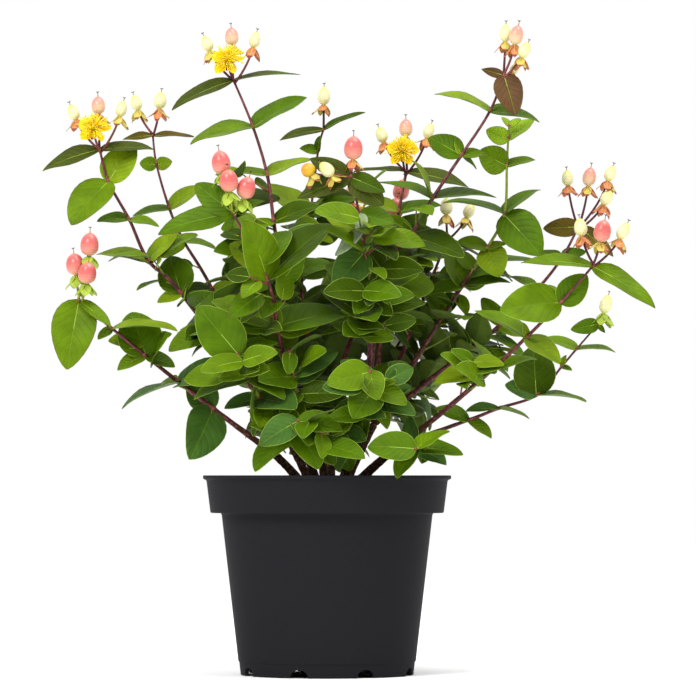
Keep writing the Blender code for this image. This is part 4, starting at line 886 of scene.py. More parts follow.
def before_gap(points):
    """Whether one of the points lies in a gap in which the picture shows the background."""
    for point in points:
        scale = EYE_AWAY / (EYE_AWAY + point.y)
        across = PICTURE_AXIS + (EYE_ACROSS + (point.x - EYE_ACROSS) * scale) / PIXEL
        down = PICTURE_GROUND - (EYE_HEIGHT + (point.z - EYE_HEIGHT) * scale) / PIXEL
        if any(left < across < right and top < down < bottom for left, top, right, bottom in GAPS):
            return True
    return False


def try_leaf(ground, owner, route, leaf, rng, free=False):
    """The leaf, turned until it is clear of everything else, or None. A free one keeps out of the gaps."""
    along0 = leaf.along.normalized()
    for turn in range(TURNS):
        swing = TURN_SWING * turn * rng.uniform(-1, 1)
        lean = TURN_LEAN * turn * rng.uniform(-1, 1)
        roll = TURN_ROLL * turn * rng.uniform(-1, 1)
        shrink = 1.0 - TURN_SHRINK * turn
        side = along0.cross(leaf.face).normalized()
        along = (along0 + swing * side + lean * leaf.face.normalized()).normalized()
        face = Matrix.Rotation(roll, 3, along) @ leaf.face
        trial = Leaf(leaf.base, along, face, leaf.length * shrink, leaf.width * shrink)
        tip = leaf_place(trial, 1.0, 0.0)
        middle = leaf_place(trial, MID_BLADE, 0.0)
        if in_pot(tip) or in_pot(middle) or near_route(route, tip) > LEAF_REACH:
            continue
        if free and before_gap(leaf_ring(trial, GAP_POINTS)):
            continue
        whole = leaf_skin(trial, TEST_MARGIN)
        if ground.touches(*whole, skip=owner):
            continue
        outer = leaf_skin(trial, OWN_MARGIN, start=OWN_CLEAR_FROM)
        if ground.touches(*outer, only=owner):
            continue
        ground.add(owner, *outer, OWN)
        ground.add(owner, *leaf_skin(trial, OWN_MARGIN), OTHERS)
        return trial
    return None


def grow_head(ground, mass, cane, route):
    """The berries and the flower at the tip of a cane, each on its stalk."""
    tip, heading = place_on(route, route[1][-1])
    head = HEADS[cane.head]
    turn = 1.0 if cane.front else -1.0
    for place, (across, up, away, width, length, colour) in enumerate(head.fruits):
        centre = tip + Vector((turn * across, turn * away, up))
        axis = ((centre - tip).normalized() + Vector((0, 0, FRUIT_RISE)) + FRUIT_AHEAD * heading).normalized()
        base = centre - axis * (length / 2)
        if ground.touches(*ball_skin(centre, width * BALL_CLEAR), skip=mass.name):
            continue
        ground.add(mass.name, *ball_skin(centre, width * 0.5))
        root = tip - heading * (STALK_TOP + STALK_SPACING * place)
        stalk = Twig([root, base + axis * STALK_SUNK * length], [TWIG_RADIUS * STALK_FLARE, TWIG_RADIUS])
        mass.twigs.append(stalk)
        mass.fruits.append(Fruit(base, axis, width, length, colour))
    if head.flower:
        across, up, away = head.flower
        centre = tip + Vector((turn * across, turn * away, up))
        axis = Vector((0, -FLOWER_TO_VIEWER * turn, FLOWER_UP)).normalized()
        mass.flowers.append(Flower(centre, axis))
        root = tip - heading * STALK_SPACING * len(head.fruits)
        mass.twigs.append(Twig([root, centre + axis * FLOWER_SEAT], [TWIG_RADIUS * STALK_FLARE] * 2))
        ground.add(mass.name, *ball_skin(centre, STAMEN_RADIUS))


def seen_leaf(bearing, length, width, narrow, rng):
    """The direction, face, length and width of a leaf, from what the eye sees of it.

    It leans so that its face turns up, and it is rolled until no more than the seen width shows. As its
    midrib arches, it starts a little above the straight line to its tip. A length below nought is that of a
    leaf before its cane, and a width below nought that of a leaf that shows its underside.
    """
    angle = math.radians(bearing)
    lean = SEEN_LEAN * math.sin(angle) + rng.uniform(-LEAN_SPREAD, LEAN_SPREAD)
    lean, length = (NEAR_LEAN, -length) if length < 0 else (lean, length)
    turned_over, width = width < 0, abs(width)
    true_length = length * math.sqrt(1 + lean * lean) * math.cos(ARCH_ANGLE)
    true_width = max(width, true_length * (NARROW if narrow else BROAD))
    to_tip = Vector((math.cos(angle), lean, math.sin(angle))).normalized()
    to_eye = (-Vector((0, 1, 0)) + to_tip.y * to_tip).normalized()
    upward = to_tip.cross(to_eye)
    if upward.z < 0 or (upward.z < FLAT_ENOUGH and rng.random() < 0.5):
        upward = -upward
    roll = math.acos(min(width / true_width, 1.0))
    face = math.cos(roll) * to_eye + math.sin(roll) * upward
    if turned_over:
        face = -face
    along = math.cos(ARCH_ANGLE) * to_tip + math.sin(ARCH_ANGLE) * face
    return along, face, true_length, true_width


def ruled_pair(cane, heading, quarter, share, narrow, rng):
    """The directions, faces, lengths and widths of two leaves a quarter turn or so round the cane."""
    up = Vector((0, 0, 1))
    outward = Vector((cane.tip[0], cane.tip[1], 0)).normalized()
    side = heading.cross(up if abs(heading.z) < UPRIGHT else Vector((1, 0, 0))).normalized()
    other = heading.cross(side).normalized()
    spread = spoke(side, other, math.radians(quarter) + rng.uniform(-PAIR_TURN, PAIR_TURN))
    found = []
    for sign in (1, -1):
        along = heading * PAIR_AHEAD + spread * sign * PAIR_SPREAD + up * rng.uniform(*PAIR_SAG)
        facing = up * FACE_UP + outward * FACE_OUT + heading * FACE_AHEAD
        if cane.front:
            facing += Vector((0, -FACE_VIEWER, 0))
        length = cane.leaf * share * rng.uniform(*PAIR_LENGTH)
        found.append((along.normalized(), facing, length, length * (NARROW if narrow else BROAD)))
    return found


def node_distances(cane, route):
    """How far from the fork the leaf pairs of a cane stand, from the tip down."""
    total = route[1][-1]
    start = max(STUB, total - cane.leafy) + CLEAR
    found = [total - FIRST_PAIR]
    for place in range(len(cane.ways)):
        found.append(route[1][KNOT_POINTS * (len(cane.ways) - place)])
    while found[-1] - cane.step > start + LAST_PAIR:
        found.append(found[-1] - cane.step)
    return found


def nodes_of(cane, route):
    """The point and the heading of each leaf pair of a cane, from the tip down."""
    return [place_on(route, distance) for distance in node_distances(cane, route)]


def add_pair(ground, mass, route, node, pairs, free=True):
    """The leaves of a node, each after the first rooted a little lower."""
    point, heading = node
    for side, (along, facing, length, width) in enumerate(pairs):
        base = point - along * ROOT_DEPTH - heading * (PAIR_STAGGER * side)
        rng = random.Random(f"{mass.name} {len(mass.leaves)}")
        leaf = try_leaf(ground, mass.name, route, Leaf(base, along, facing, length, width), rng, free)
        if leaf:
            mass.leaves.append(leaf)


def grow_seen(ground, mass, name, cane, route):
    """The leaf pairs that the viewer sees best, which come before all others."""
    rng = random.Random(name + " seen")
    for place, (seen, node) in enumerate(zip(SEEN_PAIRS.get(name, ()), nodes_of(cane, route))):
        narrow = place == 0 and cane.head != "shoot"
        pairs = [seen_leaf(*seen[i:i + 3], narrow, rng) for i in range(0, len(seen), 3)]
        add_pair(ground, mass, route, node, pairs, free=False)


def grow_ruled(ground, mass, name, cane, route):
    """The other pairs, and the crosswise ones that fill the crown to the front and the back."""
    rng = random.Random(name + " ruled")
    seen = len(SEEN_PAIRS.get(name, ()))
    for place, (point, heading) in enumerate(nodes_of(cane, route)):
        if place >= seen:
            narrow = place == 0 and cane.head != "shoot"
            pairs = ruled_pair(cane, heading, 0 if place % 2 else QUARTER, 1.0, narrow, rng)
            add_pair(ground, mass, route, (point, heading), pairs)
        if place and (place >= seen or (place % 2 and place > 1)):
            crossing = ruled_pair(cane, heading, QUARTER if place % 2 else 0, CROSS_SHARE, False, rng)
            one_side = crossing[:1] if place % 4 < 2 else crossing[1:]
            add_pair(ground, mass, route, (point - heading * CROSS_DROP, heading), one_side)


def plan_plant():
    """The masses as the source has them, each clear of those before it, with what they keep clear of."""
    ground = Ground()
    stool = plan_stool()
    for twig in stool:
        ground.add("stool", *twig_skin(twig, 0.0))
    routes = {name: cane_route(cane) for name, cane in CANES.items()}
    masses = []
    for name, cane in CANES.items():
        total = routes[name][1][-1]
        start = total - cane.leafy
        if start > STUB + BOUGH_STEP / 2:
            bough = stretch(routes[name], STUB + CLEAR, start, cane_radius(name, total), BOUGH_STEP)
            ground.add("bough_" + name, *twig_skin(bough, 0.0))
        else:
            start = STUB
        stem = stretch(routes[name], start + CLEAR, total, cane_radius(name, total), ROUTE_STEP)
        masses.append(Mass("foliage_" + name, stem, [], [], [], [], []))
        ground.add("foliage_" + name, *twig_skin(stem, 0.0))
    named = list(zip(masses, CANES.items()))
    for mass, (name, cane) in named:
        grow_head(ground, mass, cane, routes[name])
    for mass, (name, cane) in named:
        grow_seen(ground, mass, name, cane, routes[name])
    for mass, (name, cane) in named:
        grow_ruled(ground, mass, name, cane, routes[name])
    return ground, routes, masses


def plan_stool():
    """The woody stems from the compost to their forks, and the start of each cane past them."""
    foot = COMPOST_TOP + COMPOST_CROWN + CLEAR
    twigs = []
    for stem in STEMS.values():
        low = Vector((stem.foot[0], stem.foot[1], foot + STEM_ROOT))
        high = Vector(stem.fork)
        middle = (low + high) / 2 + Vector((0, 0, STEM_RISE))
        shares = [i / STEM_RUNS for i in range(STEM_RUNS + 1)]
        points = [bend(low, middle, high, t) for t in shares]
        radii = [stem.girth + (FORK_GIRTH - stem.girth) * t for t in shares]
        twigs.append(Twig(points, radii))
    for name, cane in CANES.items():
        route = cane_route(cane)
        twigs.append(stretch(route, 0.0, STUB, cane_radius(name, route[1][-1]), STUB))
    return twigs


def frame_on(axis):
    side = axis.orthogonal().normalized()
    return side, axis.cross(side).normalized()


def in_crown(point):
    """How deep a point lies in the full part of the crown: 1 in its middle, 0 at its edge, less outside."""
    off = point - Vector(CROWN_MIDDLE)
    return 1.0 - math.sqrt(sum((off[i] / CROWN_REACH[i]) ** 2 for i in range(3)))


def facing_at(point, rng):
    """The way a leaf's upper side turns at a point: up and outwards, and to the viewer in the front half."""
    outward = Vector((point.x, point.y, 0)) * OUTWARD_SHARE
    toward = Vector((0, FACING_Y[point.y < FRONT_HALF], 0))
    loose = Vector([rng.uniform(*span) for span in FACING_LOOSE])
    return loose + outward + toward


def grow_leaf(ground, mass, route, base, along, facing, length, share, rng):
    """One more leaf on a mass, if it finds room and leaves the gaps open."""
    wanted = Leaf(base, along, facing, length, length * share)
    leaf = try_leaf(ground, mass.name, route, wanted, rng, free=True)
    if leaf and in_reach(leaf):
        mass.leaves.append(leaf)


def in_reach(leaf):
    """Whether a leaf stays between the front and the back of the solids."""
    return all(REACH_FRONT < point.y < REACH_BACK for point in leaf_ring(leaf, GAP_POINTS))


def grow_axils(ground, mass, name, cane, route):
    """The small leaves in the axils of the big ones."""
    rng = random.Random(name + " axils")
    for place, (point, heading) in enumerate(nodes_of(cane, route)):
        if place == 0 or rng.random() > AXIL_CHANCE[in_crown(point) > AXIL_DEPTH]:
            continue
        spread = aside(heading, rng.uniform(0, math.pi))
        for sign in (1, -1):
            along = (heading * AXIL_AHEAD + spread * sign * AXIL_SPREAD).normalized()
            length = rng.uniform(*AXIL_LENGTH)
            base = point + along * AXIL_BASE
            grow_leaf(ground, mass, route, base, along, facing_at(point, rng), length, AXIL_BROAD, rng)


def grow_sprig(ground, mass, route, root, heading, reach, length, rng):
    """A side shoot with a pair of leaves at its tip and one below, if it finds room."""
    out = aside(heading, rng.uniform(0, 2 * math.pi))
    outward = Vector((root.x, root.y, 0)).normalized()
    along = (heading * SPRIG_AHEAD + out * SPRIG_ASIDE + outward * SPRIG_OUTWARD
             + Vector((0, 0, SPRIG_UP))).normalized()
    end = root + along * reach
    clear = Twig([root + along * SPRIG_FREE, end], [SPRIG_RADIUS, SPRIG_RADIUS])
    if in_pot(end) or before_gap([end]) or ground.touches(*twig_skin(clear, SPRIG_MARGIN), skip=mass.name):
        return False
    cross = along.cross(Vector((0, 0, 1)) + outward * SPRIG_TILT).normalized()
    before = len(mass.leaves)
    for sign in (1, -1):
        ahead = (along * SPRIG_LEAF_AHEAD + cross * sign * SPRIG_SPREAD
                 + Vector((0, 0, rng.uniform(*SPRIG_SAG)))).normalized()
        grow_leaf(ground, mass, route, end - along * SPRIG_STAGGER * (1 + sign), ahead, facing_at(end, rng),
                  length * rng.uniform(*SPRIG_LENGTH), SPRIG_BROAD, rng)
    if reach > SPRIG_THIRD:
        middle = root + along * reach * THIRD_AT
        ahead = (along * THIRD_AHEAD - Vector((0, 0, THIRD_SAG))
                 + out * rng.uniform(-THIRD_LOOSE, THIRD_LOOSE)).normalized()
        grow_leaf(ground, mass, route, middle, ahead, facing_at(middle, rng), length * THIRD_LENGTH,
                  SPRIG_BROAD, rng)
    if len(mass.leaves) == before:
        return False
    ground.add(mass.name, *twig_skin(clear, 0.0))
    mass.sprigs.append(Twig([root, root + along * reach * 0.5 + out * SPRIG_BOW * reach, end],
                            [SPRIG_RADIUS * share for share in SPRIG_TAPER]))
    return True


def grow_inner(ground, mass, name, cane, route, step, offset, size, chance):
    """Leaves and side shoots along the whole cane where it runs through the full part of the crown."""
    rng = random.Random(f"{name} inner {offset}")
    total = route[1][-1]
    distance = STUB * INNER_FROM + offset
    while distance < total - INNER_END:
        point, heading = place_on(route, distance)
        distance += step * rng.uniform(*INNER_STEP)
        if in_crown(point) < INNER_DEPTH or point.z < COMPOST_TOP + INNER_LOWEST:
            continue
        if rng.random() < chance:
            reach = rng.uniform(*SPRIG_REACH)
            if grow_sprig(ground, mass, route, point, heading, reach, size * rng.uniform(*INNER_SHOOT), rng):
                continue
        out = aside(heading, rng.uniform(0, 2 * math.pi))
        along = (heading * INNER_AHEAD + out * INNER_SPREAD
                 + Vector((0, 0, rng.uniform(*INNER_SAG)))).normalized()
        grow_leaf(ground, mass, route, point, along, facing_at(point, rng), size * rng.uniform(*INNER_LENGTH),
                  BROAD, rng)


def grow_finer(ground, routes, masses):
    """The leaves and shoots that the source leaves out, each clear of those before it."""
    named = list(zip(masses, CANES.items()))
    for mass, (name, cane) in named:
        grow_axils(ground, mass, name, cane, routes[name])
    for offset, (step, size, chance) in enumerate(INNER_ROUNDS):
        for mass, (name, cane) in named:
            grow_inner(ground, mass, name, cane, routes[name], step, offset * ROUND_SHIFT, size, chance)


class Sheaf:
    """Faces gathered into one piece, each with the finish it takes."""

    def __init__(self):
        self.points = []
        self.faces = []
        self.slots = []
        self.sheet = []
        self.count = 0

    def add(self, points, faces, slots, sheet=None):
        points = np.reshape(points, (-1, 3))
        start = self.count
        self.points.append(points)
        self.sheet.append(np.zeros((len(points), 2)) if sheet is None else np.reshape(sheet, (-1, 2)))
        self.faces.extend([tuple(i + start for i in face) for face in faces])
        self.slots.extend([slots] * len(faces) if isinstance(slots, str) else slots)
        self.count += len(points)

    def add_tube(self, rings, slots):
        """Rings of points, closed at both ends, with a finish for each face between them or one for all."""
        rows, sides = rings.shape[:2]
        faces = grid_faces(rows, sides, wrap=True)
        slots = [slots] * len(faces) if isinstance(slots, str) else slots
        ends = [tuple(range(sides)), tuple(range(rows * sides - 1, (rows - 1) * sides - 1, -1))]
        self.add(rings, faces + ends, slots + [slots[0], slots[-1]])

    def piece(self, name, finishes, slot, nodes, smooth=True):
        """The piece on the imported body, in place of the nodes that it stands for."""
        mesh = bpy.data.meshes.new(name)
        mesh.from_pydata((np.concatenate(self.points) * MM).tolist(), [], self.faces)
        used = sorted(set(self.slots))
        for finish_name in used:
            mesh.materials.append(finishes[finish_name])
        numbers = {finish_name: i for i, finish_name in enumerate(used)}
        mesh.polygons.foreach_set("material_index", [numbers[s] for s in self.slots])
        mesh.polygons.foreach_set("use_smooth", [smooth] * len(self.faces))
        layer = mesh.uv_layers.new(name=SHEET)
        corners = np.empty(len(mesh.loops), np.int32)
        mesh.loops.foreach_get("vertex_index", corners)
        layer.data.foreach_set("uv", np.concatenate(self.sheet)[corners].ravel())
        mesh.update()
        obj = bpy.data.objects.new(name, mesh)
        bpy.context.scene.collection.objects.link(obj)
        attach(obj, "root")
        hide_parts(*nodes)


def grid_faces(rows, columns, wrap=False):
    """Quads over points kept row by row, facing the way of rows crossed with columns."""
    faces = []
    for r in range(rows - 1):
        for c in range(columns if wrap else columns - 1):
            d = (c + 1) % columns
            faces.append((r * columns + c, (r + 1) * columns + c, (r + 1) * columns + d, r * columns + d))
    return faces


def sweep(points, radii, sides):
    """Rings of points round a path, as an array of rings, facing outwards under grid_faces."""
    points = np.asarray(points, float)
    radii = np.asarray(radii, float)
    heading = np.gradient(points, axis=0)
    heading /= np.linalg.norm(heading, axis=1, keepdims=True)
    side = np.array(Vector(heading[0]).orthogonal().normalized())
    angles = 2 * np.pi * np.arange(sides) / sides
    rings = np.empty((len(points), sides, 3))
    for i, ahead in enumerate(heading):
        side = side - side.dot(ahead) * ahead
        side /= np.linalg.norm(side)
        other = np.cross(side, ahead)
        spokes = np.cos(angles)[:, None] * side + np.sin(angles)[:, None] * other
        rings[i] = points[i] + radii[i] * spokes
    return rings


def curve_through(twig, count):
    """Points and radii along a twig of two or three points, as a smooth curve."""
    first, last = np.array(twig.points[0]), np.array(twig.points[-1])
    middle = np.array(twig.points[1]) if len(twig.points) == 3 else (first + last) / 2
    pull = 2 * middle - (first + last) / 2
    t = np.linspace(0, 1, count)[:, None]
    radii = np.interp(t[:, 0], np.linspace(0, 1, len(twig.radii)), twig.radii)
    return bend(first, pull, last, t), radii


def spray(kind, rng):
    """One of the finishes of a kind, each as often as its share says."""
    return rng.choices(list(SPRAYS[kind]), list(SPRAYS[kind].values()))[0]


def add_blade(sheaf, leaf, tones, rng, twist=LEAF_TWIST, wave=LEAF_WAVE, arch=LEAF_ARCH, fold=LEAF_FOLD,
              lean=OUTLINE_LEAN, blunt=None):
    """A leaf, sepal or petal: an upper side with rim, blade and midrib, and a paler side below."""
    fine = leaf.length > FINE_FROM
    rows = FINE_ROWS if fine else PLAIN_ROWS
    t = np.linspace(0, 1, rows)
    u = EVEN_ROWS * t + (1 - EVEN_ROWS) * (1 - np.cos(np.pi * t)) / 2
    blunt = blunt or OUTLINE_BLUNT[leaf.width > ROUND_FROM * leaf.length]
    outline = np.sin(np.pi * np.clip(u, *BLADE_ENDS) ** lean) ** blunt
    half = np.maximum(WIDEN * leaf.width * 0.5 * outline, LEAST_HALF)
    rim = np.minimum(RIM_WIDTH, RIM_MOST * half)
    rib = np.minimum(RIB_WIDTH * (1 - RIB_TAPER * u) * (0.5 + leaf.length / RIB_GROWTH), RIB_MOST * half)
    steps = [half, half - rim] + [place * half for place in FINE_COLUMNS if fine] + [rib]
    across = np.stack([-s for s in steps] + steps[::-1], axis=1)
    columns = across.shape[1]
    share = np.abs(across) / half[:, None]
    arch = arch * rng.uniform(*ARCH_SPREAD)
    rise = fold * np.abs(across) * (FOLD_STEEP - FOLD_FLATTER * share)
    phase = rng.uniform(0, 2 * math.pi)
    sway = np.sin(2 * math.pi * WAVES * u[:, None] + phase + np.sign(across))
    rise = rise + wave * leaf.length * rng.uniform(*WAVE_SPREAD) * sway * share ** 2
    on_rib = slice(columns // 2 - 1, columns // 2 + 1)
    rise[:, on_rib] -= np.minimum(RIB_DEPTH, RIB_DEEPEST * half)[:, None]
    droop = np.clip((u - DROOP_FROM) / (1 - DROOP_FROM), 0, 1) ** 2
    drop = arch * leaf.length * u ** 2 + DROOP * leaf.length * rng.uniform(0, 1) * droop
    along, side, face = (np.array(v) for v in leaf_frame(leaf))
    turn = (twist * rng.uniform(-1, 1) * u)[:, None, None]
    sideways = np.cos(turn) * side + np.sin(turn) * face
    upper = (np.array(leaf.base) + along * (leaf.length * u)[:, None, None]
             + sideways * across[:, :, None] + face * (rise - drop[:, None])[:, :, None])
    lower = upper[:, 1:-1] - face * BLADE_THICKNESS
    sheet = np.stack([np.repeat(u[:, None], columns, 1), np.sign(across) * share], axis=2)
    wing = [tones.blade] * ((columns - 4) // 2)
    slots = []
    for row in range(rows - 1):
        if tones.tip and u[row] > TIP_FROM:
            slots.extend([tones.tip] * (columns - 1))
        else:
            # beyond its pale foot the midrib takes the crease finish, painted shade in its groove
            rib_tone = tones.rib if u[row] < tones.rib_to else tones.crease
            slots.extend([tones.rim, *wing, rib_tone, *wing, tones.rim])
    faces = grid_faces(rows, columns)
    inner = columns - 2

    def below(r, c):
        return r * columns + c if c in (0, columns - 1) else rows * columns + r * inner + c - 1

    for r in range(rows - 1):
        for c in range(columns - 1):
            faces.append((below(r, c), below(r, c + 1), below(r + 1, c + 1), below(r + 1, c)))
            slots.append(tones.under)
    points = np.concatenate([upper.reshape(-1, 3), lower.reshape(-1, 3)])
    sheets = np.concatenate([sheet.reshape(-1, 2), sheet[:, 1:-1].reshape(-1, 2)])
    sheaf.add(points, faces, slots, sheets)


def add_round(sheaf, points, radii, sides, slot):
    """A closed round form along a path."""
    sheaf.add_tube(sweep(points, radii, sides), slot)


def leaf_tones(name, leaf, cane, rng):
    """The finishes of a leaf, dealt out by where it grows: darker tones deep in the crown for painted shade,
    lighter ones at its edge and a paler lower side on one cane for painted light, a pale rim that is partly a
    painted edge highlight, and a darker midrib crease for painted shade.
    """
    z = leaf.base.z
    below_tip = (leaf.base - Vector(cane.tip)).length
    bract = below_tip < BRACT_REACH and cane.head != "shoot"
    outer = in_crown(leaf.base) < OUTER_BELOW
    if bract:
        blade = BRACT_TONES.get(name) or rng.choice(("leaf_olive", "leaf_deep"))
    elif name == "young_shoot" and below_tip < ACID_REACH:
        blade = "leaf_acid" if below_tip < TIP_REACH else "leaf_fresh"
    elif leaf.length < SMALL_LEAF:
        blade = spray("small leaf", rng)
    elif "rosette" in name or z < BLUISH_BELOW:
        blade = spray("low leaf", rng)
    else:
        # painted shade: a leaf deep in the crown takes the darker tones, and one at its edge the lighter
        # tones of painted light
        blade = spray("lit outer leaf" if outer else "shaded inner leaf", rng)
    dark = bract or (outer and z > DARK_RIM_ABOVE and rng.random() < DARK_RIMS)
    # painted light: the lower side is painted paler where it turns to the viewer
    under = "leaf_pale" if name == LIT_BELOW and leaf.face.y > 0 else "leaf_under"
    rib_to = rng.uniform(*RIB_TO) if leaf.length > SMALL_LEAF else RIB_TO_SMALL
    # the pale rim is partly the leaf's own pale margin and partly a painted highlight on its edge
    return Tones("rim_dark" if dark else "rim_pale", blade, "leaf_rib", "crease", under, None, rib_to)


def add_cane(sheaf, name, cane, route):
    """A cane from its fork to its tip, swollen at its nodes, with a finish that goes from bark to skin."""
    rng = random.Random(name + " bark")
    total = route[1][-1]
    count = int(total / CANE_RING)
    distances = np.linspace(0, total, count)
    places = np.array([tuple(p) for p in route[0]])
    points = np.stack([np.interp(distances, route[1], places[:, i]) for i in range(3)], axis=1)
    radius_at = cane_radius(name, total)
    radii = np.array([radius_at(d) for d in distances])
    gap = np.min(np.abs(distances[:, None] - np.array(node_distances(cane, route))[None, :]), axis=1)
    radii = radii * (1 + NODE_SWELL * np.exp(-(gap / NODE_LENGTH) ** 2))
    radii[0] *= CANE_ROOT
    rings = sweep(points, radii, CANE_SIDES)
    woody = np.clip(1 - distances / (WOODY_TO * total), 0, 1)
    for i in range(count):
        for k in range(CANE_SIDES):
            place = Vector(rings[i, k]) / CANE_GRAIN
            rough = noise.noise(Vector((place.x, place.y, place.z * GRAIN_STRETCH)))
            ridge = CANE_RIDGE * math.cos(4 * math.pi * k / CANE_SIDES)
            relief = (CANE_RELIEF + WOODY_RELIEF * woody[i]) * rough
            rings[i, k] = points[i] + (rings[i, k] - points[i]) * (1 + ridge + relief)
    green = cane.head == "shoot"
    slots = []
    for i in range(count - 1):
        share = distances[i] / total
        for _ in range(CANE_SIDES):
            if gap[i] < NODE_RING and share > RINGS_FROM:
                slots.append("node_ring")
            elif share + rng.uniform(-BARK_SPRAY, BARK_SPRAY) < BARK_TO[green]:
                slots.append("bark_young")
            elif green and share + rng.uniform(-GREEN_SPRAY, GREEN_SPRAY) > GREEN_FROM:
                slots.append("cane_green")
            else:
                slots.append("cane_light" if rng.random() < CANE_LIGHT else "cane_dark")
    sheaf.add_tube(rings, slots)


def add_stems(sheaf):
    """The woody stems with their flaking bark, and the crown of roots that they stand on."""
    foot = COMPOST_TOP + COMPOST_CROWN + CLEAR
    for number, stem in enumerate(STEMS.values()):
        low = np.array((stem.foot[0], stem.foot[1], foot + STEM_LOW))
        high = np.array(stem.fork, float)
        middle = (low + high) / 2 + np.array((0, 0, STEM_RISE))
        length = np.linalg.norm(high - low)
        t = np.linspace(0, 1, int(length / STEM_RING) + STEM_ENDS)
        points = bend(low, middle, high, t[:, None])
        radii = stem.girth + (FORK_GIRTH * STEM_STOUT - stem.girth) * t
        radii = radii + STEM_FLARE * np.exp(-t * length / STEM_FLARE_REACH)
        radii[-1] *= STEM_TIP
        rings = sweep(points, radii, STEM_SIDES)
        for i in range(len(t)):
            for k in range(STEM_SIDES):
                place = Vector(rings[i, k])
                angle = 2 * math.pi * k / STEM_SIDES
                strand = noise.noise(Vector((math.cos(angle) * STRANDS, math.sin(angle) * STRANDS,
                                             place.z / STRAND_LENGTH + number)))
                flake = noise.noise(place / FLAKE_SIZE)
                relief = STRAND_RELIEF * strand
                rings[i, k] = points[i] + (rings[i, k] - points[i]) * (1 + relief + FLAKE_RELIEF * flake)
        faces = grid_faces(len(t), STEM_SIDES, wrap=True)
        rng = random.Random(number)
        sheaf.add(rings, faces, [spray("bark", rng) for _ in faces])
    points = []
    for r in range(CROWN_ROWS):
        t = r / (CROWN_ROWS - 1)
        for c in range(CROWN_COLUMNS):
            angle = -2 * math.pi * c / CROWN_COLUMNS
            radius = (STOOL_FOOT_RADIUS + CROWN_SKIRT) * (1 - t) + CROWN_HOLE
            bulge = STOOL_FOOT_HEIGHT * math.sin(math.pi / 2 * min(1.0, t * CROWN_BULGE)) - CROWN_SUNK
            place = Vector((radius * math.cos(angle), radius * math.sin(angle), foot + bulge))
            outward = Vector((place.x, place.y, CROWN_LIFT)).normalized()
            points.append(tuple(place + outward * CROWN_RELIEF * noise.noise(place / CROWN_GRAIN)))
    sheaf.add(points, grid_faces(CROWN_ROWS, CROWN_COLUMNS, wrap=True), "bark_old")


def add_fruit(sheaf, calyx, fruit, leafy, rng):
    """A berry with its style and stigmas, on its five sepals."""
    axis = np.array(fruit.axis)
    base = np.array(fruit.base)
    profile, top = FRUIT_SHAPES[fruit.colour == "pale"]
    t = (1 - np.cos(np.pi * np.linspace(0, 1, FRUIT_RINGS))) / 2
    radii = np.interp(t, *zip(*profile)) * fruit.width * 0.5
    heights = (FRUIT_FOOT + (top - FRUIT_FOOT) * t) * fruit.length
    slots = []
    for i in range(FRUIT_RINGS - 1):
        for _ in range(FRUIT_SIDES):
            shaded = (t[i] + t[i + 1]) / 2 * FRUIT_STEPS + FRUIT_SPRAY * rng.uniform(-1, 1)
            slots.append(f"fruit_{fruit.colour}_{int(min(max(shaded, 0), FRUIT_STEPS - 1))}")
    sheaf.add_tube(sweep(base + axis * heights[:, None], radii, FRUIT_SIDES), slots)
    side, other = (np.array(v) for v in frame_on(fruit.axis))
    if fruit.colour != "bud":
        tip = base + axis * heights[-1]
        end = base + axis * fruit.length * STYLE_END
        add_round(calyx, np.linspace(tip - axis * STYLE_SUNK, end, 3), STYLE_RADII, STYLE_SIDES, "style")
        for k in range(STIGMAS):
            out = spoke(side, other, rng.uniform(0, 1) + 2 * math.pi * k / STIGMAS)
            path = [end] + [end + axis * ahead + out * aside for ahead, aside in STIGMA_PATH]
            add_round(calyx, path, STIGMA_RADII, STIGMA_SIDES, "stigma")
    base_tone = rng.choice(("sepal_green", "sepal_orange"))
    for k in range(SEPALS):
        out = Vector(spoke(side, other, rng.uniform(-SEPAL_TURN, SEPAL_TURN) + 2 * math.pi * k / SEPALS))
        along = out * rng.uniform(*SEPAL_OUT) - Vector((0, 0, rng.uniform(*SEPAL_DOWN)))
        start = fruit.base + out * SEPAL_ASIDE + fruit.axis * SEPAL_UP
        length = rng.uniform(*SEPAL_LENGTH[leafy])
        blade = Leaf(start, along, out + fruit.axis * SEPAL_FACE, length, SEPAL_WIDTH[leafy])
        tones = LEAFY_SEPAL
        if not leafy:
            tone = rng.choice((base_tone, base_tone, "sepal_green", "sepal_orange"))
            tones = Tones("sepal_orange", tone, "sepal_green", "sepal_orange", tone, "sepal_tip", 0.6)
        add_blade(calyx, blade, tones, rng, arch=rng.uniform(-SEPAL_ARCH, SEPAL_ARCH), fold=SEPAL_FOLD)
    bowl = fruit.base - fruit.axis * BOWL_DEPTH
    add_round(calyx, [tuple(bowl + fruit.axis * step) for step in BOWL_STEPS], BOWL_RADII, BOWL_SIDES,
              "sepal_green")


